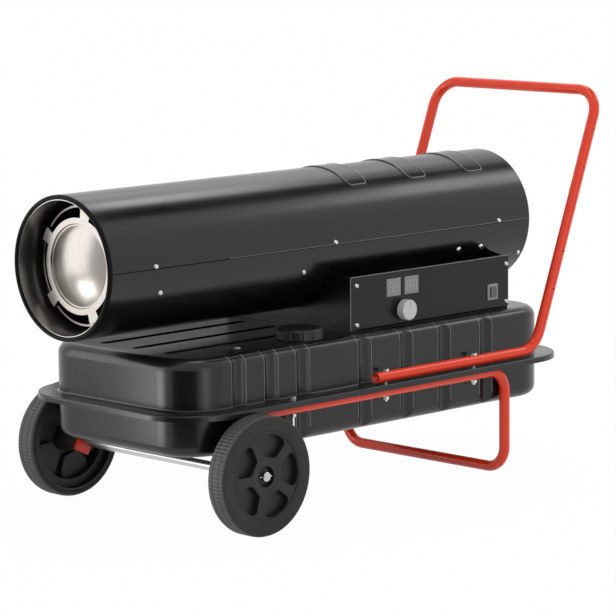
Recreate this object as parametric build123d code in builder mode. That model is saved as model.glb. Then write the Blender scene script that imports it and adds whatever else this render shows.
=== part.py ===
"""Forced air heater on wheels: a diesel burner in a long barrel over its own tank.

Units are millimetres. +Z is up, -X is the outlet end, +X is the handle end, and the
control panel faces -Y. The origin is on the floor, under the middle of the whole heater.
"""

import os
from math import atan2, cos, degrees, radians, sin, sqrt, tan

from build123d import *

os.makedirs("parts", exist_ok=True)

# ---------------------------------------------------------------- driving dimensions
# Wheels and axle
wheel_diameter = 200.0
tyre_width = 39.0
tyre_thickness = 17.0
wheel_gap = 13.2  # frame tube to the wheel's inner face
axle_diameter = 16.0
axle_recess = 0.5  # axle end behind the wheel's outer face
hub_radius = 23.0

# Tube frame
tube_diameter = 19.0
tube_wall = 1.5
frame_half_width = 198.0  # tube axes from the middle plane
axle_to_foot = 647.6
axle_to_handle_bar = 907.4
axle_to_handle_end = 317.7
handle_height = 671.5
handle_lean = 21.3  # degrees from upright
handle_low_bend = 55.0
handle_top_bend = 48.0
foot_bend = 40.0
axle_leg_bend = 30.0
tab_width = 32.0
tab_thickness = 5.0
pad_height = 3.6  # rubber pad between the rim and the base frame
long_bolts_from_axle = [342.0, 566.0]
short_bolt_from_axle = 118.5

# Tank
tank_front_from_axle = 104.6
tank_length = 894.4
tank_half_width = 186.5
tank_corner = 76.0
tank_bottom = 128.6
rim_top = 206.0
rim_width = 34.0
rim_depth = 10.0
rim_edge_radius = 3.0
tank_top = 291.0
shoulder_radius = 20.0
bottom_radius = 18.0
tank_sheet = 1.2
side_groove_width = 34.0
side_groove_depth = 6.0
side_groove_edge = 6.0  # round where a groove meets the wall
side_groove_start = 8.0  # degrees, slope where the groove leaves the wall
top_groove_width = 18.0
top_groove_depth = 5.0
top_groove_length = 334.0
top_groove_pitch = 80.0
top_groove_from_front = 46.0

# Filler, gauge, drain
cap_radius = 40.0
cap_height = 17.5
cap_wall = 3.0
cap_rib_count = 14
neck_radius = 30.0
neck_wall = 2.0
neck_height = 12.0
cap_from_tank_front = 307.0
cap_offset = 131.0
strainer_depth = 70.0
gauge_radius = 12.5
gauge_from_tank_front = 152.0
gauge_offset = 134.0
drain_from_tank_front = 820.0
drain_offset = 60.0

# Barrel
barrel_radius = 120.2
barrel_length = 1014.5
barrel_above_tank = 29.3  # tank top to the underside of the barrel
axle_to_outlet = 211.2
barrel_sheet = 1.0
lip_radius = 3.75
seam_gap = 0.6
seam_lap = 10.0
band_width = 46.0
band_height = 1.8
band_low_angle = 50.0
band_corner = 9.0
bands_from_outlet = [612.0, 764.0, 913.0]
seam_screws_from_outlet = [100.1, 512.9, 931.2]
grille_screw_from_outlet = 1002.0
line_hole_from_outlet = 654.05

# Burner
chamber_air_gap = 21.2  # cooling air between the chamber and the shell
chamber_sheet = 1.5
chamber_length = 417.0
chamber_recess = 47.0
disc_proud = 10.0  # flame disc in front of the chamber rim
shield_sheet = 0.8
shield_overrun = 12.0
flare_run = 10.0
flare_land = 8.0
burner_radius = 44.0
burner_length = 92.0
disc_radius = 80.0
dome_radius = 67.0
dome_height = 14.0
lug_width_angle = 15.0
shield_screws_from_outlet = [114.7, 442.1]

# Fan and motor
fan_tip_gap = 11.2
fan_hub_radius = 24.0
fan_hub_length = 34.0
fan_blade_count = 5
shaft_radius = 6.0
motor_radius = 52.0
motor_length = 126.0
motor_from_rear = 153.6
fan_gap = 17.0
pump_radius = 44.0
pump_length = 34.0
pump_cover_length = 14.0
motor_bolts_from_outlet = [831.2, 889.8]
fuel_bend = 45.0
air_bend = 25.0
air_turn_run = 75.0  # air line: from the line hole forwards to its turn

# Cradle and panel
cradle_length = 402.0
cradle_from_rear = 98.6
cradle_half_width = 153.9
cradle_sheet = 1.5
cradle_height = 92.0
panel_thickness = 1.5
panel_height = 91.0
panel_overhang = 1.2
panel_gap_below = 4.0
panel_lip = 12.0

# Fits
running_gap = 0.05
fit_gap = 0.2
press_gap = 0.02

# ---------------------------------------------------------------- derived places
tube_radius = tube_diameter / 2
wheel_radius = wheel_diameter / 2
axle_x = (axle_to_outlet - axle_to_handle_bar - tube_radius) / 2
axle_z = wheel_radius
outlet_x = axle_x - axle_to_outlet
barrel_rear_x = outlet_x + barrel_length
barrel_height = tank_top + barrel_above_tank + barrel_radius
foot_x = axle_x + axle_to_foot
handle_bar_x = axle_x + axle_to_handle_bar
handle_end_x = axle_x + axle_to_handle_end
upper_tube_z = rim_top + tube_radius
lower_tube_z = rim_top - 2 * tank_sheet - pad_height - tube_radius
handle_corner_x = handle_bar_x - (handle_height - upper_tube_z) * tan(radians(handle_lean))
tank_front_x = axle_x - tank_front_from_axle
tank_middle_x = tank_front_x + tank_length / 2
shell_inner_radius = barrel_radius - barrel_sheet
chamber_radius = shell_inner_radius - chamber_air_gap
fan_radius = shell_inner_radius - fan_tip_gap
barrel_axis = Axis((0, 0, barrel_height), (1, 0, 0))
axle_line = Axis((axle_x, 0, axle_z), (0, 1, 0))
seam_plane = Plane.XY.offset(barrel_height)


def finish(part, name):
    """Label one finished piece and write it to its own file."""
    part.label = name
    export_step(part, "parts/" + name + ".step")
    print(name, len(part.solids()), round(part.volume))


def radial_plane(angle, x=0.0):
    """Plane through the barrel axis: local x along the barrel, local y outwards.

    angle is in degrees above the near horizontal, so 90 is straight up.
    """
    c, s = cos(radians(angle)), sin(radians(angle))
    return Plane(origin=(x, 0, barrel_height), x_dir=(1, 0, 0), z_dir=(0, -s, -c))


def on_barrel(x, angle, radius):
    """Plane square to the barrel's radius at a station x, facing outwards."""
    c, s = cos(radians(angle)), sin(radians(angle))
    origin = (x, -radius * c, barrel_height + radius * s)
    return Plane(origin=origin, x_dir=(1, 0, 0), z_dir=(0, -c, s))


def across_barrel(x):
    """Plane square to the barrel axis at x, facing the handle end."""
    return Plane(origin=(x, 0, barrel_height), x_dir=(0, 1, 0), z_dir=(1, 0, 0))


# ---------------------------------------------------------------- barrel shells
seam_screw_x = [outlet_x + run for run in seam_screws_from_outlet]
shield_screw_x = [outlet_x + run for run in shield_screws_from_outlet]
shield_screw_angle = -19.8
motor_bolt_x = [outlet_x + run for run in motor_bolts_from_outlet]
motor_bolt_angle = -19.6
grille_screw_x = outlet_x + grille_screw_from_outlet
grille_screw_angles = [90.0, -31.0, 211.0]
band_x = [outlet_x + run for run in bands_from_outlet]
rivet_angle = -5.9
screw_hole = 2.3
rivet_hole = 1.25
seam_screw_angles = [2.0, 178.0]
line_hole_x = outlet_x + line_hole_from_outlet
line_hole_radius = 12.0
chamber_front_x = outlet_x + chamber_recess
chamber_rear_x = chamber_front_x + chamber_length
shield_rear_x = chamber_rear_x + shield_overrun
flare_x = shield_rear_x + flare_run
both_sides = [1, -1]


def mirrored(angle):
    """The same height on the far side of the barrel."""
    return 180.0 - angle


with BuildPart() as barrel_tube:
    with BuildSketch(radial_plane(0)) as barrel_profile:
        with BuildLine():
            lip_x = outlet_x + lip_radius
            outer_end = Line((barrel_rear_x, barrel_radius), (lip_x, barrel_radius))
            ThreePointArc(
                (lip_x, barrel_radius),
                (outlet_x, barrel_radius - lip_radius),
                (lip_x, barrel_radius - 2 * lip_radius),
            )
            Line(
                (lip_x, barrel_radius - 2 * lip_radius),
                (lip_x, barrel_radius - 2 * lip_radius + barrel_sheet),
            )
            ThreePointArc(
                (lip_x, barrel_radius - 2 * lip_radius + barrel_sheet),
                (outlet_x + barrel_sheet, barrel_radius - lip_radius),
                (lip_x, shell_inner_radius),
            )
            Line((lip_x, shell_inner_radius), (barrel_rear_x, shell_inner_radius))
            Line((barrel_rear_x, shell_inner_radius), (barrel_rear_x, barrel_radius))
        make_face()
    revolve(axis=barrel_axis)


def band(x, inner_radius, outer_radius, inset):
    """A raised band over the top of the barrel, with round corners in plan."""
    half = band_width / 2 - inset
    half_span = barrel_radius * cos(radians(band_low_angle)) - inset
    with BuildPart() as tool:
        with BuildSketch(Plane.XY.offset(barrel_height)):
            with Locations((x, 0)):
                RectangleRounded(2 * half, 2 * half_span, band_corner - inset)
        extrude(amount=2 * barrel_radius)
        with BuildSketch(across_barrel(x - half - 1)):
            Circle(outer_radius)
            Circle(inner_radius, mode=Mode.SUBTRACT)
        extrude(amount=2 * half + 2, mode=Mode.INTERSECT)
    return tool.part


hole_depth = 5.0


def shell_holes(stations, angles):
    """Planes inside the shell for holes drilled outwards at each station and angle."""
    return [on_barrel(x, a, shell_inner_radius - hole_depth) for x in stations for a in angles]


with BuildPart() as upper_barrel_shell:
    add(barrel_tube.part)
    split(bisect_by=seam_plane.offset(seam_gap / 2), keep=Keep.TOP)
    for x in band_x:
        add(band(x, shell_inner_radius + barrel_sheet / 2, barrel_radius + band_height, 0.0))
    for x in band_x:
        add(
            band(x, shell_inner_radius - barrel_sheet, shell_inner_radius + band_height, barrel_sheet),
            mode=Mode.SUBTRACT,
        )
    with BuildSketch(*shell_holes(seam_screw_x, seam_screw_angles), *shell_holes([grille_screw_x], [90.0])):
        Circle(screw_hole)
    extrude(amount=2 * hole_depth, mode=Mode.SUBTRACT)
    # The far half is the near half's mirror image, joined along the crown.
    split(bisect_by=Plane.XZ)
    mirror(about=Plane.XZ)
finish(upper_barrel_shell.part, "upper_barrel_shell")

lap_outer = shell_inner_radius - fit_gap
lap_above = degrees(seam_lap / 2 / shell_inner_radius)
lap_below = 9.0
lap_sweep = lap_above + lap_below
lap_centre = (lap_above - lap_below) / 2
lap_clear = 10.0
weld_centre = -3.0
weld_sweep = 1.0
with BuildPart() as lower_barrel_shell:
    add(barrel_tube.part)
    split(bisect_by=seam_plane.offset(-seam_gap / 2), keep=Keep.BOTTOM)
    # Lap strips inside both edges carry the upper shell's screws and stop short of the flare.
    lap_runs = [
        (lip_x + 2 * lip_radius, flare_x - lap_clear),
        (flare_x + flare_land + lap_clear, barrel_rear_x - 2 * lap_clear),
    ]
    for lap_start_x, lap_end_x in lap_runs:
        for centre_angle, weld_angle in ((lap_centre, weld_centre), (mirrored(lap_centre), mirrored(weld_centre))):
            with BuildSketch(radial_plane(centre_angle + lap_sweep / 2)):
                Polygon(
                    (lap_start_x, lap_outer - barrel_sheet),
                    (lap_end_x, lap_outer - barrel_sheet),
                    (lap_end_x, lap_outer),
                    (lap_start_x, lap_outer),
                    align=None,
                )
            revolve(axis=barrel_axis, revolution_arc=lap_sweep)
            # A thin weld line joins each strip to the shell.
            with BuildSketch(radial_plane(weld_angle + weld_sweep / 2)):
                Polygon(
                    (lap_start_x, lap_outer - barrel_sheet / 2),
                    (lap_end_x, lap_outer - barrel_sheet / 2),
                    (lap_end_x, shell_inner_radius + barrel_sheet / 2),
                    (lap_start_x, shell_inner_radius + barrel_sheet / 2),
                    align=None,
                )
            revolve(axis=barrel_axis, revolution_arc=weld_sweep)
    with BuildSketch(
        *shell_holes(seam_screw_x, seam_screw_angles),
        *shell_holes(shield_screw_x, [shield_screw_angle, mirrored(shield_screw_angle)]),
        *shell_holes([grille_screw_x], grille_screw_angles[1:]),
    ):
        Circle(screw_hole)
    extrude(amount=2 * hole_depth, mode=Mode.SUBTRACT)
    with BuildSketch(*shell_holes(seam_screw_x, [rivet_angle, mirrored(rivet_angle)])):
        Circle(rivet_hole)
    extrude(amount=2 * hole_depth, mode=Mode.SUBTRACT)
    with BuildSketch(*shell_holes(motor_bolt_x, [motor_bolt_angle, mirrored(motor_bolt_angle)])):
        Circle(screw_hole + 1)
    extrude(amount=2 * hole_depth, mode=Mode.SUBTRACT)
    with BuildSketch(on_barrel(line_hole_x, -90.0, shell_inner_radius - hole_depth)):
        Circle(line_hole_radius)
    extrude(amount=2 * hole_depth, mode=Mode.SUBTRACT)
finish(lower_barrel_shell.part, "lower_barrel_shell")

# ---------------------------------------------------------------- burner
chamber_inner_radius = chamber_radius - chamber_sheet
shield_radius = barrel_radius - 2 * lip_radius - fit_gap
shield_inner_radius = shield_radius - shield_sheet
standoff_radius = 5.0
standoff_angles = [shield_screw_angle, 90.0, mirrored(shield_screw_angle)]
standoff_places = [(x, a) for x in shield_screw_x for a in standoff_angles]

with BuildPart() as heat_shield:
    with BuildSketch(radial_plane(90)) as shield_profile:
        flare_radius = shell_inner_radius - fit_gap
        Polygon(
            (lip_x, shield_inner_radius),
            (shield_rear_x, shield_inner_radius),
            (flare_x, flare_radius - shield_sheet),
            (flare_x + flare_land, flare_radius - shield_sheet),
            (flare_x + flare_land, flare_radius),
            (flare_x - shield_sheet / 2, flare_radius),
            (shield_rear_x - shield_sheet / 2, shield_radius),
            (lip_x, shield_radius),
            align=None,
        )
    revolve(axis=barrel_axis)
    with BuildSketch(*[on_barrel(x, a, chamber_radius) for x, a in standoff_places]):
        Circle(standoff_radius + fit_gap)
    extrude(amount=shield_radius - chamber_radius + 2, mode=Mode.SUBTRACT)
finish(heat_shield.part, "heat_shield")

rim_hem = 1.6
rim_hem_length = 5.0
burner_hole = burner_radius + fit_gap
with BuildPart() as combustion_chamber:
    with BuildSketch(radial_plane(90)) as chamber_profile:
        Polygon(
            (chamber_front_x, chamber_inner_radius),
            (chamber_rear_x - chamber_sheet, chamber_inner_radius),
            (chamber_rear_x - chamber_sheet, burner_hole),
            (chamber_rear_x, burner_hole),
            (chamber_rear_x, chamber_radius),
            (chamber_front_x + rim_hem_length, chamber_radius),
            (chamber_front_x + rim_hem_length, chamber_radius + rim_hem),
            (chamber_front_x, chamber_radius + rim_hem),
            align=None,
        )
    revolve(axis=barrel_axis)
finish(combustion_chamber.part, "combustion_chamber")

with BuildPart() as chamber_standoffs:
    with BuildSketch(*[on_barrel(x, a, chamber_radius + fit_gap / 2) for x, a in standoff_places]):
        Circle(standoff_radius)
        Circle(screw_hole - fit_gap, mode=Mode.SUBTRACT)
    extrude(amount=shell_inner_radius - chamber_radius - fit_gap - standoff_radius**2 / (2 * chamber_radius))
finish(chamber_standoffs.part, "chamber_standoffs")

disc_sheet = 1.5
lug_count = 5
first_lug_angle = mirrored(30.5)
lug_outer = chamber_inner_radius - fit_gap
lug_reach = 14.0  # how far each lug goes into the chamber
lug_foot = disc_proud + lug_reach
disc_x = chamber_front_x - disc_proud
step_depth = 3.0
# The dome is part of a sphere; half_rise is its height at half its radius.
dome_sphere = (dome_radius**2 + dome_height**2) / (2 * dome_height)
half_rise = sqrt(dome_sphere**2 - dome_radius**2 / 4) - (dome_sphere - dome_height)
with BuildPart() as flame_disc:
    with BuildSketch(radial_plane(90)) as disc_profile:
        with BuildLine():
            dome_tip_x = disc_x - dome_height + step_depth
            ring_in = dome_radius + 2.0
            ThreePointArc(
                (dome_tip_x, 0),
                (disc_x + step_depth - half_rise, dome_radius / 2),
                (disc_x + step_depth, dome_radius),
            )
            Polyline(
                (disc_x + step_depth, dome_radius),
                (disc_x + step_depth, ring_in),
                (disc_x, ring_in + 1.5),
                (disc_x, disc_radius),
                (disc_x + disc_sheet, disc_radius),
                (disc_x + disc_sheet, ring_in + 1.5 + disc_sheet / 2),
                (disc_x + step_depth + disc_sheet, ring_in + disc_sheet / 2),
                (disc_x + step_depth + disc_sheet, dome_radius),
            )
            ThreePointArc(
                (disc_x + step_depth + disc_sheet, dome_radius),
                (disc_x + step_depth + disc_sheet - half_rise, dome_radius / 2),
                (dome_tip_x + disc_sheet, 0),
            )
            Line((dome_tip_x + disc_sheet, 0), (dome_tip_x, 0))
        make_face()
    revolve(axis=barrel_axis)
    for k in range(lug_count):
        lug_angle = first_lug_angle - 360.0 * k / lug_count
        with BuildSketch(radial_plane(lug_angle + lug_width_angle / 2)) as lug_profile:
            Polygon(
                (disc_x, disc_radius - 1),
                (disc_x, lug_outer),
                (disc_x + lug_foot, lug_outer),
                (disc_x + lug_foot, lug_outer - disc_sheet),
                (disc_x + disc_sheet, lug_outer - disc_sheet),
                (disc_x + disc_sheet, disc_radius - 1),
                align=None,
            )
        revolve(axis=barrel_axis, revolution_arc=lug_width_angle)
finish(flame_disc.part, "flame_disc")

burner_front_x = chamber_rear_x - 22.0
burner_flange = 16.0
burner_sheet = 1.5
with BuildPart() as burner_tube:
    with BuildSketch(radial_plane(90)) as burner_profile:
        inner = burner_radius - burner_sheet
        Polygon(
            (burner_front_x, inner),
            (burner_front_x + burner_length, inner),
            (burner_front_x + burner_length, burner_radius),
            (chamber_rear_x + burner_sheet, burner_radius),
            (chamber_rear_x + burner_sheet, burner_radius + burner_flange),
            (chamber_rear_x, burner_radius + burner_flange),
            (chamber_rear_x, burner_radius),
            (burner_front_x, burner_radius),
            align=None,
        )
    revolve(axis=barrel_axis)
finish(burner_tube.part, "burner_tube")

swirl_x = burner_front_x + 6.0
nozzle_seat = 9.0
with BuildPart() as swirl_plate:
    with BuildSketch(across_barrel(swirl_x)) as swirl_outline:
        Circle(inner - press_gap)
        Circle(nozzle_seat + press_gap, mode=Mode.SUBTRACT)
        with PolarLocations(27, 8):
            Rectangle(20, 4.5, rotation=35, mode=Mode.SUBTRACT)
    extrude(amount=2)
finish(swirl_plate.part, "swirl_plate")

nozzle_length = 46.0
with BuildPart() as fuel_nozzle:
    with BuildSketch(across_barrel(swirl_x + nozzle_length)) as nozzle_body:
        RegularPolygon(nozzle_seat + 5, 6)
    extrude(amount=-(nozzle_length - 2))
    with BuildSketch(across_barrel(swirl_x + 2)) as nozzle_nose:
        Circle(nozzle_seat)
    extrude(amount=-8, taper=25)
finish(fuel_nozzle.part, "fuel_nozzle")

electrode_radius = 3.5
electrode_spread = 12.0
electrode_length = 60.0
electrode_front_x = swirl_x + 2 + press_gap
with BuildPart() as ignition_electrodes:
    for side in both_sides:
        electrode_plane = across_barrel(electrode_front_x)
        with BuildSketch(electrode_plane) as ceramic:
            with Locations((side * electrode_spread, 24.0)):
                Circle(electrode_radius)
        extrude(amount=electrode_length)
        with BuildSketch(electrode_plane.offset(electrode_length)) as terminal:
            with Locations((side * electrode_spread, 24.0)):
                Circle(1.2)
        extrude(amount=8)
finish(ignition_electrodes.part, "ignition_electrodes")

# ---------------------------------------------------------------- fan, motor and pump
motor_centre_x = barrel_rear_x - motor_from_rear
motor_front_x = motor_centre_x - motor_length / 2
motor_rear_x = motor_centre_x + motor_length / 2
fan_rear_x = motor_front_x - fan_gap
fan_front_x = fan_rear_x - fan_hub_length
fan_mid_x = fan_rear_x - fan_hub_length / 2

blade_root = fan_hub_radius - 3
blade_sections = [(blade_root, 40.0, 48.0), (fan_radius * 0.6, 56.0, 33.0), (fan_radius, 66.0, 24.0)]
blade_camber = 5.0
blade_thickness = 1.8
with BuildPart() as fan_blade:
    for radius, chord, pitch in blade_sections:
        section_plane = Plane(
            origin=(fan_mid_x, 0, barrel_height + radius),
            x_dir=(-sin(radians(pitch)), cos(radians(pitch)), 0),
            z_dir=(0, 0, 1),
        )
        with BuildSketch(section_plane) as section:
            with BuildLine():
                ThreePointArc((-chord / 2, 0), (0, blade_camber), (chord / 2, 0))
                ThreePointArc((chord / 2, 0), (0, blade_camber - blade_thickness), (-chord / 2, 0))
            make_face()
    loft()

with BuildPart() as fan:
    with BuildSketch(across_barrel(fan_front_x)) as hub_outline:
        Circle(fan_hub_radius)
        Circle(shaft_radius + press_gap, mode=Mode.SUBTRACT)
    extrude(amount=fan_hub_length)
    for k in range(fan_blade_count):
        add(fan_blade.part.rotate(barrel_axis, 360.0 * k / fan_blade_count))
finish(fan.part, "fan")

shaft_front_x = fan_front_x - 4.0
shaft_rear_x = motor_rear_x + pump_length / 2
with BuildPart() as motor_shaft:
    with BuildSketch(across_barrel(shaft_front_x)) as shaft_outline:
        Circle(shaft_radius)
    extrude(amount=shaft_rear_x - shaft_front_x)
    chamfer(motor_shaft.edges().filter_by(GeomType.CIRCLE), 1.0)
finish(motor_shaft.part, "motor_shaft")

bell_length = 18.0
bell_step = 8.0
with BuildPart() as motor:
    with BuildSketch(radial_plane(90)) as motor_profile:
        Polygon(
            (motor_front_x, shaft_radius + running_gap),
            (motor_rear_x, shaft_radius + running_gap),
            (motor_rear_x, motor_radius - bell_step),
            (motor_rear_x - bell_length, motor_radius),
            (motor_front_x + bell_length, motor_radius),
            (motor_front_x, motor_radius - bell_step),
            align=None,
        )
    revolve(axis=barrel_axis)
    with BuildSketch(across_barrel(motor_front_x + bell_length)) as vents:
        with PolarLocations(motor_radius, 12):
            Rectangle(5, 7)
    extrude(amount=motor_length - 2 * bell_length, mode=Mode.SUBTRACT)
finish(motor.part, "motor")

bracket_sheet = 2.0
bracket_length = 92.0
bracket_seat_half = 34.0
bracket_ear_angle = 7.5  # half of the ear's arc, degrees
ear_radius = shell_inner_radius - fit_gap
with BuildPart() as motor_bracket:
    with BuildSketch(across_barrel(motor_centre_x - bracket_length / 2)) as bracket_outline:
        seat_top = -(motor_radius + fit_gap)
        with Locations((0, seat_top - bracket_sheet / 2)):
            Rectangle(2 * bracket_seat_half, bracket_sheet)
        for side in both_sides:
            middle = motor_bolt_angle if side > 0 else 180 - motor_bolt_angle
            strap_end = (ear_radius - bracket_sheet, radians(motor_bolt_angle - bracket_ear_angle * 0.7))
            end_y, end_z = strap_end[0] * cos(strap_end[1]), strap_end[0] * sin(strap_end[1])
            Polygon(
                (side * (bracket_seat_half - 1), seat_top),
                (side * (bracket_seat_half - 1), seat_top - bracket_sheet),
                (side * end_y, end_z - bracket_sheet / 2),
                (side * end_y, end_z + bracket_sheet),
                align=None,
            )
            with BuildLine() as ear:
                start = middle - bracket_ear_angle
                outer_arc = CenterArc((0, 0), ear_radius, start, 2 * bracket_ear_angle)
                inner_arc = CenterArc((0, 0), ear_radius - bracket_sheet, start, 2 * bracket_ear_angle)
                Line(outer_arc @ 0, inner_arc @ 0)
                Line(outer_arc @ 1, inner_arc @ 1)
            make_face()
    extrude(amount=bracket_length)
    with BuildSketch(*shell_holes(motor_bolt_x, [motor_bolt_angle, mirrored(motor_bolt_angle)])):
        Circle(screw_hole + 1)
    extrude(amount=10, both=True, mode=Mode.SUBTRACT)
finish(motor_bracket.part, "motor_bracket")

pump_rear_x = motor_rear_x + pump_length
pump_neck = 5.0
with BuildPart() as air_pump:
    with BuildSketch(radial_plane(90)) as pump_profile:
        Polygon(
            (motor_rear_x, shaft_radius + running_gap),
            (shaft_rear_x + 2, shaft_radius + running_gap),
            (shaft_rear_x + 2, 0),
            (pump_rear_x, 0),
            (pump_rear_x, pump_radius),
            (motor_rear_x + pump_neck, pump_radius),
            (motor_rear_x + pump_neck, motor_radius - bell_step),
            (motor_rear_x, motor_radius - bell_step),
            align=None,
        )
    revolve(axis=barrel_axis)
finish(air_pump.part, "air_pump")

pump_cover_radius = pump_radius - 4
filter_cap_radius = 14.0
with BuildPart() as pump_cover:
    with BuildSketch(across_barrel(pump_rear_x)) as cover_outline:
        Circle(pump_cover_radius)
    extrude(amount=pump_cover_length)
    fillet(pump_cover.faces().sort_by(Axis.X)[-1].edges(), 3)
    with BuildSketch(across_barrel(pump_rear_x + pump_cover_length)) as filter_caps:
        with Locations((-18, 8), (18, 8)):
            RegularPolygon(filter_cap_radius, 8)
    extrude(amount=6)
finish(pump_cover.part, "pump_cover")

grille_sheet = 1.5
grille_skirt = 18.0
grille_slot = 6.0
grille_radius = shell_inner_radius - fit_gap
with BuildPart() as intake_grille:
    with BuildSketch(across_barrel(barrel_rear_x - grille_sheet)) as grille_face:
        Circle(grille_radius)
        with PolarLocations(grille_radius - 28, 40):
            SlotOverall(38, grille_slot, mode=Mode.SUBTRACT)
        with PolarLocations(grille_radius - 68, 22):
            SlotOverall(32, grille_slot, mode=Mode.SUBTRACT)
    extrude(amount=grille_sheet)
    with BuildSketch(across_barrel(barrel_rear_x - grille_skirt)) as skirt:
        Circle(grille_radius)
        Circle(grille_radius - grille_sheet, mode=Mode.SUBTRACT)
    extrude(amount=grille_skirt - grille_sheet)
    with BuildSketch(*[on_barrel(grille_screw_x, a, grille_radius - 5) for a in grille_screw_angles]):
        Circle(screw_hole)
    extrude(amount=10, mode=Mode.SUBTRACT)
finish(intake_grille.part, "intake_grille")

sensor_x = burner_front_x + burner_length - 24
with BuildPart() as flame_sensor:
    with BuildSketch(on_barrel(sensor_x, 60.0, burner_radius + fit_gap)) as sensor_foot:
        Circle(9)
    extrude(amount=6)
    with BuildSketch(on_barrel(sensor_x, 60.0, burner_radius + fit_gap + 6)) as sensor_body:
        Circle(6)
    extrude(amount=20)
finish(flame_sensor.part, "flame_sensor")

# ---------------------------------------------------------------- cradle and panel
cradle_rear_x = barrel_rear_x - cradle_from_rear
cradle_front_x = cradle_rear_x - cradle_length
cradle_middle_x = (cradle_front_x + cradle_rear_x) / 2
cradle_floor_z = tank_top + cradle_sheet
cradle_touch_angle = -24.0
cradle_seat_radius = barrel_radius + fit_gap
cradle_top_z = tank_top + cradle_height
gland_y = 100.0
gland_z = tank_top + 36.0
gland_radius = 8.0
pickup_x = line_hole_x
pickup_flange_radius = 15.0
panel_tab = 16.0
panel_screw_x = [cradle_front_x + 13.2, cradle_rear_x - 4.6]
panel_bottom_z = tank_top + panel_gap_below
panel_top_z = panel_bottom_z + panel_height
panel_screw_z = [panel_bottom_z + 8.0, panel_top_z - 15.0]
panel_back_y = -cradle_half_width
panel_front_y = panel_back_y - panel_thickness
panel_plane = Plane(origin=(0, panel_front_y, 0), x_dir=(1, 0, 0), z_dir=(0, -1, 0))
panel_back_plane = Plane(origin=(0, panel_back_y, 0), x_dir=(1, 0, 0), z_dir=(0, -1, 0))


def cradle_wall(x, thickness):
    """An end wall of the cradle, cut out to seat the round barrel."""
    touch_y = cradle_seat_radius * cos(radians(cradle_touch_angle))
    touch_z = cradle_seat_radius * sin(radians(cradle_touch_angle))
    low_z, top_z = tank_top - barrel_height, cradle_top_z - barrel_height
    with BuildPart() as wall:
        with BuildSketch(across_barrel(x)):
            with BuildLine():
                Polyline(
                    (touch_y, touch_z),
                    (cradle_half_width, top_z),
                    (cradle_half_width, low_z),
                    (-cradle_half_width, low_z),
                    (-cradle_half_width, top_z),
                    (-touch_y, touch_z),
                )
                ThreePointArc((-touch_y, touch_z), (0, -cradle_seat_radius), (touch_y, touch_z))
            make_face()
        extrude(amount=thickness)
    return wall.part


with BuildPart() as support_cradle:
    with BuildSketch(Plane.XY.offset(tank_top)) as cradle_floor:
        with Locations((cradle_middle_x, 0)):
            Rectangle(cradle_length, 2 * cradle_half_width)
    extrude(amount=cradle_sheet)
    add(cradle_wall(cradle_front_x, cradle_sheet))
    add(cradle_wall(cradle_rear_x, -cradle_sheet))
    with BuildSketch(Plane.XZ.offset(-cradle_half_width)) as far_wall:
        with Locations((cradle_middle_x, tank_top + cradle_height / 2)):
            Rectangle(cradle_length, cradle_height)
    extrude(amount=cradle_sheet)
    with BuildSketch(Plane.XZ.offset(cradle_half_width - cradle_sheet)) as near_tabs:
        with Locations(
            (cradle_front_x + panel_tab / 2, tank_top + cradle_height / 2),
            (cradle_rear_x - panel_tab / 2, tank_top + cradle_height / 2),
        ):
            Rectangle(panel_tab, cradle_height)
    extrude(amount=cradle_sheet)
    with BuildSketch(panel_plane) as tab_holes:
        with Locations([(x, z) for x in panel_screw_x for z in panel_screw_z]):
            Circle(screw_hole)
    extrude(amount=-10, mode=Mode.SUBTRACT)
    with BuildSketch(Plane.XY.offset(tank_top)) as pickup_hole:
        with Locations((pickup_x, 0)):
            Circle(pickup_flange_radius + 1)
    extrude(amount=cradle_sheet, mode=Mode.SUBTRACT)
    with BuildSketch(across_barrel(cradle_rear_x)) as gland_hole:
        with Locations((gland_y, gland_z - barrel_height)):
            Circle(gland_radius + fit_gap)
    extrude(amount=-2 * cradle_sheet, mode=Mode.SUBTRACT)
finish(support_cradle.part, "support_cradle")

panel_left_x = cradle_front_x - panel_overhang
panel_right_x = cradle_rear_x + panel_overhang
knob_x, knob_z = panel_left_x + 130.6, panel_bottom_z + 23.0
knob_radius = 18.0
knob_depth = 15.0
knob_gap = 1.5
knob_flutes = 20
spindle_radius = 3.0
bushing_radius = 4.5
display_width, display_height = 35.0, 31.0
display_x = [panel_left_x + 106.2, panel_left_x + 151.2]
display_z = panel_bottom_z + 64.0
display_proud = 0.6
switch_x, switch_z = panel_right_x - 43.0, panel_bottom_z + 28.5
bezel_width, bezel_height, bezel_proud = 27.0, 29.0, 2.5
well_width, well_height, well_depth = 17.0, 19.0, 12.0
switch_body_width, switch_body_height = 22.0, 24.0

with BuildPart() as control_panel:
    with BuildSketch(panel_back_plane) as panel_outline:
        with Locations(((panel_left_x + panel_right_x) / 2, (panel_bottom_z + panel_top_z) / 2)):
            Rectangle(panel_right_x - panel_left_x, panel_height)
        with Locations([(x, z) for x in panel_screw_x for z in panel_screw_z]):
            Circle(screw_hole, mode=Mode.SUBTRACT)
        with Locations((knob_x, knob_z)):
            Circle(bushing_radius + fit_gap, mode=Mode.SUBTRACT)
        with Locations([(x, display_z) for x in display_x]):
            Rectangle(display_width + 2 * fit_gap, display_height + 2 * fit_gap, mode=Mode.SUBTRACT)
        with Locations((switch_x, switch_z)):
            Rectangle(
                switch_body_width + 2 * fit_gap, switch_body_height + 2 * fit_gap, mode=Mode.SUBTRACT
            )
    extrude(amount=panel_thickness)
    with BuildSketch(Plane.XY.offset(panel_top_z - panel_thickness)) as lip_outline:
        lip_length = cradle_length - 2 * (cradle_sheet + 1)
        with Locations((cradle_middle_x, panel_back_y + panel_lip / 2)):
            Rectangle(lip_length, panel_lip)
    extrude(amount=panel_thickness)
finish(control_panel.part, "control_panel")

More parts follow.
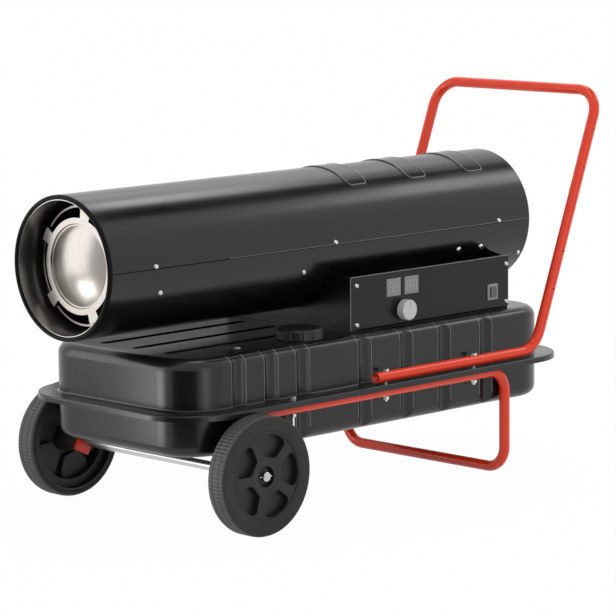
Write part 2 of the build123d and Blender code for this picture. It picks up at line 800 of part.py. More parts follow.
board_plane = panel_back_plane.offset(-6.0)
with BuildPart() as display_windows:
    with BuildSketch(board_plane) as lenses:
        with Locations([(x, display_z) for x in display_x]):
            Rectangle(display_width, display_height)
    extrude(amount=6.0 + panel_thickness + display_proud)
    chamfer(display_windows.faces().group_by(Axis.Y)[0].edges(), 0.5)
finish(display_windows.part, "display_windows")

board_thickness = 1.6
board_width, board_height = 124.0, 46.0
board_x, board_z = panel_left_x + 120.0, panel_bottom_z + 60.0
board_part_height = 9.0
chip_x, chip_z = panel_left_x + 80.0, panel_bottom_z + 66.0
relay_x, relay_radius = panel_left_x + 165.0, 7.0
pot_radius = 11.0
pot_depth = 8.0
with BuildPart() as control_board:
    with BuildSketch(board_plane) as board_outline:
        with Locations((board_x, board_z)):
            Rectangle(board_width, board_height)
    extrude(amount=-board_thickness)
    with BuildSketch(board_plane.offset(-board_thickness)) as board_parts:
        with Locations((chip_x, chip_z)):
            Rectangle(18, 16)
        with Locations((relay_x, board_z)):
            Circle(relay_radius)
    extrude(amount=-board_part_height)
finish(control_board.part, "control_board")

with BuildPart() as potentiometer:
    with BuildSketch(panel_back_plane) as pot_body:
        with Locations((knob_x, knob_z)):
            Circle(pot_radius)
            Circle(spindle_radius + running_gap, mode=Mode.SUBTRACT)
    extrude(amount=-pot_depth)
    with BuildSketch(panel_back_plane) as pot_bushing:
        with Locations((knob_x, knob_z)):
            Circle(bushing_radius)
            Circle(spindle_radius + running_gap, mode=Mode.SUBTRACT)
    extrude(amount=panel_thickness + 3.0)
finish(potentiometer.part, "potentiometer")

knob_back_plane = panel_plane.offset(knob_gap)
knob_pocket = 5.0
with BuildPart() as thermostat_knob:
    with BuildSketch(knob_back_plane) as knob_outline:
        with Locations((knob_x, knob_z)):
            Circle(knob_radius)
    extrude(amount=knob_depth)
    chamfer(thermostat_knob.faces().sort_by(Axis.Y)[0].edges(), 1.5)
    with BuildSketch(knob_back_plane) as flutes:
        with Locations((knob_x, knob_z)):
            with PolarLocations(knob_radius + 0.6, knob_flutes):
                Circle(1.5)
    extrude(amount=knob_depth, mode=Mode.SUBTRACT)
    with BuildSketch(knob_back_plane) as pocket:
        with Locations((knob_x, knob_z)):
            Circle(bushing_radius + 2.0)
    extrude(amount=knob_pocket, mode=Mode.SUBTRACT)
    with BuildSketch(knob_back_plane) as spindle_bore:
        with Locations((knob_x, knob_z)):
            Circle(spindle_radius + press_gap)
    extrude(amount=knob_depth - 3, mode=Mode.SUBTRACT)
    with BuildSketch(knob_back_plane.offset(knob_depth)) as pointer:
        with Locations((knob_x, knob_z + knob_radius * 0.55)):
            Rectangle(1.8, knob_radius * 0.6)
    extrude(amount=-0.8, mode=Mode.SUBTRACT)
finish(thermostat_knob.part, "thermostat_knob")

with BuildPart() as knob_spindle:
    with BuildSketch(panel_back_plane.offset(-pot_depth)) as spindle_outline:
        with Locations((knob_x, knob_z)):
            Circle(spindle_radius)
    extrude(amount=pot_depth + panel_thickness + knob_gap + knob_depth - 3 - press_gap)
finish(knob_spindle.part, "knob_spindle")

rocker_pin_radius = 1.5
rocker_pin_depth = 2.0  # pin behind the panel's face
rocker_rest = 8.0
rocker_half = 7.2
rocker_height = well_height - 1.0
pivot_plane = Plane(origin=(switch_x, panel_front_y + rocker_pin_depth, switch_z), x_dir=(1, 0, 0), z_dir=(0, 0, 1))
with BuildPart() as switch_body:
    with BuildSketch(panel_plane) as bezel_outline:
        with Locations((switch_x, switch_z)):
            RectangleRounded(bezel_width, bezel_height, 2.5)
    extrude(amount=bezel_proud)
    with BuildSketch(panel_plane) as body_outline:
        with Locations((switch_x, switch_z)):
            Rectangle(switch_body_width, switch_body_height)
    extrude(amount=-(well_depth + 6))
    with BuildSketch(panel_plane.offset(bezel_proud)) as well_outline:
        with Locations((switch_x, switch_z)):
            Rectangle(well_width, well_height)
    extrude(amount=-(bezel_proud + well_depth), mode=Mode.SUBTRACT)
    with BuildSketch(pivot_plane.offset(-rocker_height / 2 - 1.2)) as pin_bores:
        Circle(rocker_pin_radius + running_gap)
    extrude(amount=rocker_height + 2.4, mode=Mode.SUBTRACT)
    chamfer(switch_body.faces().sort_by(Axis.Y)[0].outer_wire().edges(), 1.0)
finish(switch_body.part, "switch_body")

with BuildPart() as switch_rocker:
    with BuildSketch(pivot_plane.offset(-rocker_height / 2)) as rocker_outline:
        with Locations(Location((0, 0, 0), (0, 0, rocker_rest))):
            Polygon(
                (-rocker_half, -5.6),
                (0, -3.6),
                (rocker_half, -5.6),
                (rocker_half - 1, 1.0),
                (0, 4.0),
                (-rocker_half + 1, 1.0),
                align=None,
            )
    extrude(amount=rocker_height)
    with BuildSketch(pivot_plane.offset(-rocker_height / 2 - 1.0)) as rocker_pins:
        Circle(rocker_pin_radius)
    extrude(amount=rocker_height + 2.0)
finish(switch_rocker.part, "switch_rocker")

coil_length, coil_width, coil_height = 86.0, 56.0, 44.0
with BuildPart() as ignition_transformer:
    with BuildSketch(Plane.XY.offset(cradle_floor_z)) as coil_outline:
        with Locations((cradle_middle_x + 40, panel_back_y + 22 + coil_width / 2)):
            RectangleRounded(coil_length, coil_width, 5)
    extrude(amount=coil_height)
    chamfer(ignition_transformer.faces().sort_by(Axis.Z)[-1].edges(), 3)
    with BuildSketch(Plane.XY.offset(cradle_floor_z)) as coil_feet:
        with Locations((cradle_middle_x + 40, panel_back_y + 22 + coil_width / 2)):
            SlotOverall(coil_length + 36, 18)
            with GridLocations(coil_length + 18, 0, 2, 1):
                Circle(2.6, mode=Mode.SUBTRACT)
    extrude(amount=2)
finish(ignition_transformer.part, "ignition_transformer")

gland_bore = 4.5

with BuildPart() as power_inlet_gland:
    with BuildSketch(across_barrel(cradle_rear_x - cradle_sheet - 8)) as gland_thread:
        with Locations((gland_y, gland_z - barrel_height)):
            Circle(gland_radius)
    extrude(amount=8 + cradle_sheet + 8)
    with BuildSketch(across_barrel(cradle_rear_x)) as gland_hex:
        with Locations((gland_y, gland_z - barrel_height)):
            RegularPolygon(gland_radius + 4, 6)
    extrude(amount=7)
    with BuildSketch(across_barrel(cradle_rear_x + 7)) as gland_dome:
        with Locations((gland_y, gland_z - barrel_height)):
            Circle(gland_radius + 2)
    extrude(amount=14, taper=12)
    with BuildSketch(across_barrel(cradle_rear_x - cradle_sheet)) as gland_nut:
        with Locations((gland_y, gland_z - barrel_height)):
            RegularPolygon(gland_radius + 4, 6)
    extrude(amount=-4)
    with BuildSketch(across_barrel(cradle_rear_x - cradle_sheet - 8)) as gland_hole_through:
        with Locations((gland_y, gland_z - barrel_height)):
            Circle(gland_bore)
    extrude(amount=8 + cradle_sheet + 7 + 14, mode=Mode.SUBTRACT)
finish(power_inlet_gland.part, "power_inlet_gland")

# ---------------------------------------------------------------- tank
rim_half_width = tank_half_width + rim_width
rim_length = tank_length + 2 * rim_width
rim_corner = tank_corner + rim_width - 4.0
rim_bottom = rim_top - rim_depth
joint_z = rim_top - tank_sheet
groove_start = radians(side_groove_start)
groove_rise = side_groove_depth + side_groove_edge * (1 - cos(groove_start))
groove_reach = side_groove_width / 2 + side_groove_edge * sin(groove_start)
groove_slope = 2 * degrees(atan2(groove_rise, groove_reach))  # steepest slope of the groove's side
groove_round = groove_reach / sin(radians(groove_slope)) - side_groove_edge
groove_open = 3.0
side_groove_from_front = [112.0, 185.9, 259.3, 407.5, 511.0, 607.3, 715.6]
side_grooves = [(tank_front_x + d, side) for d in side_groove_from_front for side in both_sides]
top_groove_x = tank_front_x + top_groove_from_front + top_groove_length / 2
top_grooves = [(top_groove_x, k * top_groove_pitch) for k in (-1, 0, 1)]
cap_x, cap_y = tank_front_x + cap_from_tank_front, -cap_offset
gauge_x, gauge_y = tank_front_x + gauge_from_tank_front, -gauge_offset
drain_x, drain_y = tank_front_x + drain_from_tank_front, drain_offset
gauge_stem_radius = 9.0
pickup_radius = 4.0
drain_radius = 8.0
bolt_radius = 3.0
bolt_hole = bolt_radius + 0.3
long_bolt_x = [axle_x + run for run in long_bolts_from_axle]
short_bolt_x = [axle_x + short_bolt_from_axle]
bolt_places = [(x, side * frame_half_width) for x in long_bolt_x + short_bolt_x for side in both_sides]
long_bolt_places = [(x, side * frame_half_width) for x in long_bolt_x for side in both_sides]
short_bolt_places = [(x, side * frame_half_width) for x in short_bolt_x for side in both_sides]


def groove_outline(inset, z):
    """Plan of every side groove: a round bottom between two rounded edges."""
    edge, bottom = side_groove_edge - inset, groove_round + inset
    steep = radians(groove_slope)
    edge_depth = side_groove_edge * cos(groove_start)
    bottom_depth = side_groove_depth - groove_round

    def on_edge(angle):
        return groove_reach - edge * sin(angle), edge_depth - edge * cos(angle)

    def on_bottom(angle):
        return bottom * sin(angle), bottom_depth + bottom * cos(angle)

    start, middle = on_edge(0), on_edge(steep / 2)
    turn, floor = on_edge(steep), on_bottom(0)
    mouth = start[0], start[1] - groove_open
    with BuildSketch(Plane.XY.offset(z)) as sketch:
        for x, side in side_grooves:

            def at(point, mirror=1):
                return x + mirror * point[0], side * (tank_half_width - point[1])

            with BuildLine():
                Line(at(mouth, -1), at(mouth))
                Line(at(mouth), at(start))
                ThreePointArc(at(start), at(middle), at(turn))
                ThreePointArc(at(turn), at(floor), at(turn, -1))
                ThreePointArc(at(turn, -1), at(middle, -1), at(start, -1))
                Line(at(start, -1), at(mouth, -1))
            make_face()
    return sketch.sketch


def tank_block(inset, start_z, end_z, edge_radius):
    """The tank's plan between two heights, with its end edge rounded and side grooves."""
    height = end_z - start_z
    with BuildPart() as block:
        with BuildSketch(Plane.XY.offset(start_z)):
            with Locations((tank_middle_x, 0)):
                RectangleRounded(tank_length - 2 * inset, 2 * (tank_half_width - inset), tank_corner - inset)
        extrude(amount=height)
        end_face = block.faces().sort_by(Axis.Z)[-1 if height > 0 else 0]
        fillet(end_face.edges(), edge_radius - inset)
        upwards = (0, 0, height / abs(height))
        extrude(groove_outline(inset, start_z), amount=abs(height), dir=upwards, mode=Mode.SUBTRACT)
    return block.part


with BuildPart() as upper_tank_shell:
    with BuildSketch(Plane.XY.offset(rim_bottom)) as rim_plan:
        with Locations((tank_middle_x, 0)):
            RectangleRounded(rim_length, 2 * rim_half_width, rim_corner)
    extrude(amount=rim_depth)
    fillet(upper_tank_shell.faces().sort_by(Axis.Z)[-1].edges(), rim_edge_radius)
    with BuildSketch(Plane.XY.offset(rim_bottom)) as rim_hollow:
        with Locations((tank_middle_x, 0)):
            RectangleRounded(
                rim_length - 2 * tank_sheet, 2 * (rim_half_width - tank_sheet), rim_corner - tank_sheet
            )
    extrude(amount=rim_depth - tank_sheet, mode=Mode.SUBTRACT)
    add(tank_block(0.0, joint_z, tank_top, shoulder_radius))
    with BuildSketch(Plane.XY.offset(tank_top)) as top_groove_outline:
        with Locations(top_grooves):
            SlotOverall(top_groove_length, top_groove_width)
    extrude(amount=-top_groove_depth, mode=Mode.SUBTRACT)
with BuildPart() as upper_cavity:
    add(tank_block(tank_sheet, joint_z, tank_top - tank_sheet, shoulder_radius))
    with BuildSketch(Plane.XY.offset(tank_top - tank_sheet)) as groove_underside:
        with Locations(top_grooves):
            SlotOverall(top_groove_length + 2 * tank_sheet, top_groove_width + 2 * tank_sheet)
    extrude(amount=-top_groove_depth, mode=Mode.SUBTRACT)
with BuildPart(mode=Mode.PRIVATE) as upper_shell_cut:
    add(upper_tank_shell.part)
    add(upper_cavity.part, mode=Mode.SUBTRACT)
    with BuildSketch(Plane.XY.offset(tank_top - 2 * tank_sheet)) as top_holes:
        with Locations((cap_x, cap_y)):
            Circle(neck_radius + press_gap)
        with Locations((gauge_x, gauge_y)):
            Circle(gauge_stem_radius + fit_gap)
        with Locations((pickup_x, 0)):
            Circle(pickup_radius + fit_gap)
    extrude(amount=4 * tank_sheet, mode=Mode.SUBTRACT)
    with BuildSketch(Plane.XY.offset(rim_bottom)) as rim_holes:
        with Locations(bolt_places):
            Circle(bolt_hole)
    extrude(amount=2 * rim_depth, mode=Mode.SUBTRACT)
finish(upper_shell_cut.part, "upper_tank_shell")

lower_rim_inset = tank_sheet + 0.5
lower_joint_z = joint_z - tank_sheet
with BuildPart() as lower_tank_shell:
    with BuildSketch(Plane.XY.offset(lower_joint_z)) as lower_rim:
        with Locations((tank_middle_x, 0)):
            RectangleRounded(
                rim_length - 2 * lower_rim_inset, 2 * (rim_half_width - lower_rim_inset), rim_corner - lower_rim_inset
            )
    extrude(amount=tank_sheet)
    add(tank_block(0.0, joint_z, tank_bottom, bottom_radius))
    add(tank_block(tank_sheet, joint_z, tank_bottom + tank_sheet, bottom_radius), mode=Mode.SUBTRACT)
    with BuildSketch(Plane.XY.offset(lower_joint_z - tank_sheet)) as lower_rim_holes:
        with Locations(bolt_places):
            Circle(bolt_hole)
    extrude(amount=4 * tank_sheet, mode=Mode.SUBTRACT)
    with BuildSketch(Plane.XY.offset(tank_bottom)) as drain_hole:
        with Locations((drain_x, drain_y)):
            Circle(drain_radius + fit_gap)
    extrude(amount=2 * tank_sheet, mode=Mode.SUBTRACT)
finish(lower_tank_shell.part, "lower_tank_shell")

with BuildPart() as drain_plug:
    with BuildSketch(Plane.XY.offset(tank_bottom)) as plug_head:
        with Locations((drain_x, drain_y)):
            RegularPolygon(drain_radius + 4, 6)
    extrude(amount=-6)
    with BuildSketch(Plane.XY.offset(tank_bottom)) as plug_thread:
        with Locations((drain_x, drain_y)):
            Circle(drain_radius)
    extrude(amount=9)
finish(drain_plug.part, "drain_plug")

neck_top = tank_top + neck_height
neck_flange = 34.0
ledge_radius = 25.8
strainer_wall = 1.0
cap_plane = Plane(origin=(cap_x, cap_y, 0), x_dir=(1, 0, 0), z_dir=(0, -1, 0))
cap_axis = Axis((cap_x, cap_y, 0), (0, 0, 1))
neck_inner = neck_radius - neck_wall
ledge_z = tank_top - 3.0
with BuildPart() as filler_neck:
    with BuildSketch(cap_plane) as neck_profile:
        Polygon(
            (ledge_radius, ledge_z),
            (neck_radius, ledge_z),
            (neck_radius, tank_top),
            (neck_flange, tank_top),
            (neck_flange, tank_top + 1.0),
            (neck_radius, tank_top + 1.0),
            (neck_radius, neck_top),
            (neck_inner, neck_top),
            (neck_inner, ledge_z + 1.5),
            (ledge_radius, ledge_z + 1.5),
            align=None,
        )
    revolve(axis=cap_axis)
finish(filler_neck.part, "filler_neck")

strainer_top = neck_top - 0.8
strainer_outer = neck_inner - fit_gap
basket_radius = ledge_radius - fit_gap
basket_bottom = strainer_top - strainer_depth
seat_z = ledge_z + 1.5 + press_gap
with BuildPart() as fuel_strainer:
    with BuildSketch(cap_plane) as basket_profile:
        Polygon(
            (strainer_outer - strainer_wall, strainer_top),
            (strainer_outer, strainer_top),
            (strainer_outer, seat_z),
            (basket_radius, seat_z),
            (basket_radius, basket_bottom),
            (0, basket_bottom),
            (0, basket_bottom + strainer_wall),
            (basket_radius - strainer_wall, basket_bottom + strainer_wall),
            (basket_radius - strainer_wall, seat_z + strainer_wall),
            (strainer_outer - strainer_wall, seat_z + strainer_wall),
            align=None,
        )
    revolve(axis=cap_axis)
    with BuildSketch(Plane.XY.offset(basket_bottom + 8)) as basket_slots:
        with Locations((cap_x, cap_y)):
            with PolarLocations(basket_radius, 8):
                Rectangle(6, 5)
    extrude(amount=strainer_depth - 30, mode=Mode.SUBTRACT)
finish(fuel_strainer.part, "fuel_strainer")

cap_bottom = tank_top + 1.3
cap_top = cap_bottom + cap_height
cap_ceiling = cap_top - cap_wall
thread_gap = 0.3
thread_wall = 2.6
gasket_height = cap_ceiling - neck_top - 2 * fit_gap
with BuildPart() as fuel_cap:
    with BuildSketch(cap_plane) as cap_profile:
        Polygon(
            (cap_radius - cap_wall, cap_bottom),
            (cap_radius, cap_bottom),
            (cap_radius, cap_top - 2.5),
            (cap_radius - 2.5, cap_top),
            (0, cap_top),
            (0, cap_ceiling),
            (neck_radius + thread_gap, cap_ceiling),
            (neck_radius + thread_gap, cap_bottom + 2),
            (neck_radius + thread_gap + thread_wall, cap_bottom + 2),
            (neck_radius + thread_gap + thread_wall, cap_ceiling),
            (cap_radius - cap_wall, cap_ceiling),
            align=None,
        )
    revolve(axis=cap_axis)
    with BuildSketch(Plane.XY.offset(cap_bottom)) as finger_grips:
        with Locations((cap_x, cap_y)):
            with PolarLocations(cap_radius + 2.2, cap_rib_count):
                Circle(3.8)
    extrude(amount=cap_height, mode=Mode.SUBTRACT)
finish(fuel_cap.part, "fuel_cap")

with BuildPart() as cap_gasket:
    with BuildSketch(Plane.XY.offset(neck_top + fit_gap)) as gasket_ring:
        with Locations((cap_x, cap_y)):
            Circle(neck_radius - 0.4)
            Circle(neck_inner - 3, mode=Mode.SUBTRACT)
    extrude(amount=gasket_height)
finish(cap_gasket.part, "cap_gasket")

gauge_plate = 3.0
gauge_window = gauge_radius - 2.5
float_rod_radius = 1.5
float_radius = 8.0
float_height = 24.0
float_floor = tank_bottom + tank_sheet + 8.0
gauge_rod_bottom = tank_bottom + tank_sheet + 3.0
gauge_rod_spread = 4.0
needle_pin_radius = 1.0
needle_pin_length = 6.0
dial_radius = 6.0
dial_thickness = 0.7
dial_clear = 0.75
with BuildPart() as fuel_gauge:
    with BuildSketch(Plane.XY.offset(tank_top)) as gauge_flange:
        with Locations((gauge_x, gauge_y)):
            Circle(gauge_radius)
    extrude(amount=gauge_plate)
    chamfer(fuel_gauge.faces().sort_by(Axis.Z)[-1].edges(), 0.8)
    with BuildSketch(Plane.XY.offset(tank_top + gauge_plate)) as gauge_well:
        with Locations((gauge_x, gauge_y)):
            Circle(gauge_window)
    extrude(amount=-(gauge_plate - 0.6), mode=Mode.SUBTRACT)
    with BuildSketch(Plane.XY.offset(tank_top)) as gauge_plug:
        with Locations((gauge_x, gauge_y)):
            Circle(gauge_stem_radius)
    extrude(amount=-8)
    with BuildSketch(Plane.XY.offset(tank_top - 8)) as guide_rods:
        with Locations((gauge_x, gauge_y + gauge_rod_spread), (gauge_x, gauge_y - gauge_rod_spread)):
            Circle(float_rod_radius)
    extrude(amount=-(tank_top - 8 - gauge_rod_bottom))
    with BuildSketch(Plane.XY.offset(tank_top + gauge_plate)) as needle_bore:
        with Locations((gauge_x, gauge_y)):
            Circle(needle_pin_radius + running_gap)
    extrude(amount=-(gauge_plate + needle_pin_length), mode=Mode.SUBTRACT)
    with BuildSketch(Plane.XY.offset(gauge_rod_bottom)) as rod_stop:
        with Locations((gauge_x, gauge_y)):
            SlotOverall(2 * float_radius, 4, rotation=90)
    extrude(amount=2)
finish(fuel_gauge.part, "fuel_gauge")

with BuildPart() as fuel_float:
    with BuildSketch(Plane.XY.offset(float_floor)) as float_outline:
        with Locations((gauge_x, gauge_y)):
            Circle(float_radius)
        with Locations((gauge_x, gauge_y + gauge_rod_spread), (gauge_x, gauge_y - gauge_rod_spread)):
            Circle(float_rod_radius + running_gap, mode=Mode.SUBTRACT)
    extrude(amount=float_height)
    chamfer(fuel_float.faces().sort_by(Axis.Z)[-1].outer_wire().edges(), 1.5)
finish(fuel_float.part, "fuel_float")

with BuildPart() as gauge_needle:
    with BuildSketch(Plane.XY.offset(tank_top + dial_clear)) as needle_outline:
        with Locations((gauge_x, gauge_y)):
            Circle(dial_radius)
            with Locations((gauge_window * 0.5, 0)):
                Rectangle(gauge_window * 0.85, 1.2)
    extrude(amount=dial_thickness)
    with BuildSketch(Plane.XY.offset(tank_top + dial_clear)) as needle_pin:
        with Locations((gauge_x, gauge_y)):
            Circle(needle_pin_radius)
    extrude(amount=-needle_pin_length)
finish(gauge_needle.part, "gauge_needle")

with BuildPart() as gauge_lens:
    with BuildSketch(Plane.XY.offset(tank_top + gauge_plate - 1.2)) as lens_outline:
        with Locations((gauge_x, gauge_y)):
            Circle(gauge_window - press_gap)
    extrude(amount=2.0)
    chamfer(gauge_lens.faces().sort_by(Axis.Z)[-1].edges(), 0.7)
finish(gauge_lens.part, "gauge_lens")

pickup_foot = tank_bottom + tank_sheet + 10.0
pickup_top = tank_top + 14.0
line_radius = 3.0
with BuildPart() as fuel_pickup:
    with BuildSketch(Plane.XY.offset(pickup_foot + 18)) as pickup_tube:
        with Locations((pickup_x, 0)):
            Circle(pickup_radius)
    extrude(amount=pickup_top - pickup_foot - 18)
    with BuildSketch(Plane.XY.offset(tank_top)) as pickup_flange:
        with Locations((pickup_x, 0)):
            RegularPolygon(pickup_flange_radius, 6)
    extrude(amount=5)
    with BuildSketch(Plane.XY.offset(pickup_foot)) as pickup_filter:
        with Locations((pickup_x, 0)):
            Circle(pickup_flange_radius - 3)
    extrude(amount=18)
finish(fuel_pickup.part, "fuel_pickup")

nozzle_rear_x = swirl_x + nozzle_length
with BuildPart() as fuel_line:
    with BuildLine() as fuel_route:
        FilletPolyline(
            (nozzle_rear_x, 0, barrel_height),
            (line_hole_x, 0, barrel_height),
            (line_hole_x, 0, pickup_top),
            radius=fuel_bend,
        )
    with BuildSketch(Plane(origin=fuel_route.line @ 0, z_dir=fuel_route.line % 0)) as fuel_bore:
        Circle(line_radius)
    sweep()
finish(fuel_line.part, "fuel_line")

air_angle = 240.0
air_port_x = motor_rear_x + pump_length / 2
air_run_radius = shell_inner_radius - line_radius - 1.5
air_turn_x = line_hole_x - air_turn_run
air_offset = 8.0
air_plane = radial_plane(air_angle)
with BuildPart() as air_line:
    with BuildLine(air_plane) as air_route:
        FilletPolyline(
            (air_port_x, pump_radius + fit_gap / 2),
            (air_port_x, air_run_radius),
            (air_turn_x, air_run_radius),
            (air_turn_x, air_offset),
            (nozzle_rear_x, air_offset),
            radius=air_bend,
        )
    with BuildSketch(Plane(origin=air_route.line @ 0, z_dir=air_route.line % 0)) as air_bore:
        Circle(line_radius)
    sweep()
finish(air_line.part, "air_line")

# ---------------------------------------------------------------- tube frame
near_y = -frame_half_width
leg_hole_z = [322.0, 388.4, 535.6, 603.9]
leg_hole_radius = 2.2
with BuildPart() as handle_tube:
    with BuildLine() as handle_path:
        FilletPolyline(
            (handle_end_x, near_y, upper_tube_z),
            (handle_corner_x, near_y, upper_tube_z),
            (handle_bar_x, near_y, handle_height),
            (handle_bar_x, -near_y, handle_height),
            (handle_corner_x, -near_y, upper_tube_z),
            (handle_end_x, -near_y, upper_tube_z),
            radius=[handle_low_bend, handle_top_bend, handle_top_bend, handle_low_bend],
        )
    with BuildSketch(Plane(origin=handle_path.line @ 0, z_dir=handle_path.line % 0)) as handle_section:
        Circle(tube_radius)
        Circle(tube_radius - tube_wall, mode=Mode.SUBTRACT)
    sweep()
    with BuildSketch(Plane.XY.offset(rim_top - 1)) as handle_bolt_holes:
        with Locations(long_bolt_places):
            Circle(bolt_hole)
    extrude(amount=tube_diameter + 2, mode=Mode.SUBTRACT)
    # Small drilled holes in the outer wall of each leaning leg.
    for side in both_sides:
        leg_plane = Plane(origin=(0, side * frame_half_width, 0), x_dir=(1, 0, 0), z_dir=(0, -1, 0))
        with BuildSketch(leg_plane):
            with Locations([(handle_corner_x + (z - upper_tube_z) * tan(radians(handle_lean)), z) for z in leg_hole_z]):
                Circle(leg_hole_radius)
        extrude(amount=-side * (tube_radius + 1), mode=Mode.SUBTRACT)
finish(handle_tube.part, "handle_tube")

leg_lean = 25.0
leg_dir = (sin(radians(leg_lean)), cos(radians(leg_lean)))
tab_round_start = 58.0  # along the leg, above the axle
tab_flat_end = 34.0
tab_below = 20.0


def on_leg(distance, y):
    """A point of the front leg, at a distance above the axle."""
    return (axle_x + leg_dir[0] * distance, y, axle_z + leg_dir[1] * distance)


leg_top = on_leg((lower_tube_z - axle_z) / leg_dir[1], near_y)
floor_bar_z = tube_radius
with BuildPart() as base_frame_tube:
    with BuildLine() as base_path:
        far_top = (leg_top[0], -near_y, leg_top[2])
        FilletPolyline(
            on_leg(tab_round_start, near_y),
            leg_top,
            (foot_x, near_y, lower_tube_z),
            (foot_x, near_y, floor_bar_z),
            (foot_x, -near_y, floor_bar_z),
            (foot_x, -near_y, lower_tube_z),
            far_top,
            on_leg(tab_round_start, -near_y),
            radius=[axle_leg_bend, foot_bend, foot_bend, foot_bend, foot_bend, axle_leg_bend],
        )
    with BuildSketch(Plane(origin=base_path.line @ 0, z_dir=base_path.line % 0)) as base_section:
        Circle(tube_radius)
        Circle(tube_radius - tube_wall, mode=Mode.SUBTRACT)
    sweep()
    for side in both_sides:
        leg_x_dir = (0, 1, 0)
        leg_z_dir = (-leg_dir[0], 0, -leg_dir[1])
        with BuildSketch(
            Plane(origin=on_leg(tab_round_start, side * near_y), x_dir=leg_x_dir, z_dir=leg_z_dir)
        ) as round_end:
            Circle(tube_radius)
        with BuildSketch(
            Plane(origin=on_leg(tab_flat_end, side * near_y), x_dir=leg_x_dir, z_dir=leg_z_dir)
        ) as flat_end:
            RectangleRounded(tab_thickness, tab_width, tab_thickness / 2 - 0.1)
        loft()
        with BuildSketch(
            Plane(origin=on_leg(tab_flat_end, side * near_y), x_dir=leg_x_dir, z_dir=leg_z_dir)
        ) as tab_section:
            Rectangle(tab_thickness, tab_width)
        extrude(amount=tab_flat_end + tab_below)
    with BuildSketch(Plane.XZ) as axle_hole:
        with Locations((axle_x, axle_z)):
            Circle(axle_diameter / 2 + press_gap)
    extrude(amount=frame_half_width + tab_thickness, both=True, mode=Mode.SUBTRACT)
    with BuildSketch(Plane.XY.offset(lower_tube_z - tube_radius - 1)) as base_bolt_holes:
        with Locations(bolt_places):
            Circle(bolt_hole)
    extrude(amount=tube_diameter + 2, mode=Mode.SUBTRACT)
finish(base_frame_tube.part, "base_frame_tube")

pad_radius = 9.0
with BuildPart() as frame_pads:
    with BuildSketch(Plane.XY.offset(lower_joint_z)) as pad_outline:
        with Locations(bolt_places):
            Circle(pad_radius)
            Circle(bolt_hole, mode=Mode.SUBTRACT)
    extrude(amount=-(pad_height + 3))
    for side in both_sides:
        with BuildSketch(Plane(origin=(axle_x, side * near_y, lower_tube_z), z_dir=(1, 0, 0))) as tube_saddle:
            Circle(tube_radius + press_gap)
        extrude(amount=foot_x - axle_x, mode=Mode.SUBTRACT)
finish(frame_pads.part, "frame_pads")

bolt_head_height = 4.0
bolt_head_radius = 5.8
nut_height = 5.0
bolt_stub = 3.0
short_bolt_stub = 17.0  # the front bolts hang down further below their nuts
nut_bottom = lower_tube_z - tube_radius - nut_height


def bolt_group(places, head_z, stub):
    """Hex bolts at the given places, their heads seated at head_z."""
    with BuildPart() as group:
        with BuildSketch(Plane.XY.offset(head_z)):
            with Locations(places):
                RegularPolygon(bolt_head_radius, 6)
        extrude(amount=bolt_head_height)
        with BuildSketch(Plane.XY.offset(head_z)):
            with Locations(places):
                Circle(bolt_radius)
        extrude(amount=-(head_z - nut_bottom + stub))
    return group.part


with BuildPart() as frame_bolts:
    add(bolt_group(long_bolt_places, upper_tube_z + tube_radius, bolt_stub))
    add(bolt_group(short_bolt_places, rim_top, short_bolt_stub))
finish(frame_bolts.part, "frame_bolts")

with BuildPart() as frame_nuts:
    with BuildSketch(Plane.XY.offset(nut_bottom)) as nut_outline:
        with Locations(bolt_places):
            RegularPolygon(bolt_head_radius, 6)
            Circle(bolt_radius + press_gap, mode=Mode.SUBTRACT)
    extrude(amount=nut_height)
finish(frame_nuts.part, "frame_nuts")

# ---------------------------------------------------------------- wheels
wheel_inner_y = frame_half_width + tube_radius + wheel_gap
wheel_outer_y = wheel_inner_y + tyre_width
axle_radius = axle_diameter / 2
axle_end_y = wheel_outer_y - axle_recess
tyre_inner_radius = wheel_radius - tyre_thickness - 8.0
washer_thickness = 1.5
washer_radius = 12.0
tab_face_y = frame_half_width + tab_thickness / 2
hub_inner_y = tab_face_y + washer_thickness + 0.8
well_radius = 17.5
hub_outer_y = wheel_outer_y - 3.0
hub_seat_y = wheel_outer_y - 12.0
web_outer_y = wheel_outer_y - 2.0
web_thickness = 4.0
pocket_depth = 11.0
pocket_wall = 2.5
pocket_count = 5
pocket_inner, pocket_outer = 32.0, 69.5
pocket_inner_half = 13.5
pocket_outer_angle = 27.5
pocket_round = 9.0
pocket_turn = {-1: 76.5, 1: 111.0}  # degrees, how far each wheel stands turned
inner_step = 10.5  # tyre thickness on the wheel's inner face
step_y = wheel_inner_y + 16.0
step_radius = wheel_radius - inner_step
rim_wall = 4.0
pin_y = wheel_outer_y - 6.0
pin_radius = 1.3

with BuildPart() as axle:
    with BuildSketch(Plane.XZ) as axle_section:
        with Locations((axle_x, axle_z)):
            Circle(axle_radius)
    extrude(amount=axle_end_y, both=True)
    chamfer(axle.edges().filter_by(GeomType.CIRCLE), 1.0)
    with BuildSketch(Plane(origin=(axle_x, 0, axle_z), x_dir=(0, 1, 0), z_dir=(1, 0, 0))) as pin_holes:
        with Locations((pin_y, 0), (-pin_y, 0)):
            Circle(pin_radius + press_gap)
    extrude(amount=axle_radius + 1, both=True, mode=Mode.SUBTRACT)
finish(axle.part, "axle")


def wheel_plane(side, y):
    """Plane square to the axle at a distance y out on one side, facing outwards."""
    return Plane(origin=(axle_x, side * y, axle_z), x_dir=(-side, 0, 0), z_dir=(0, side, 0))


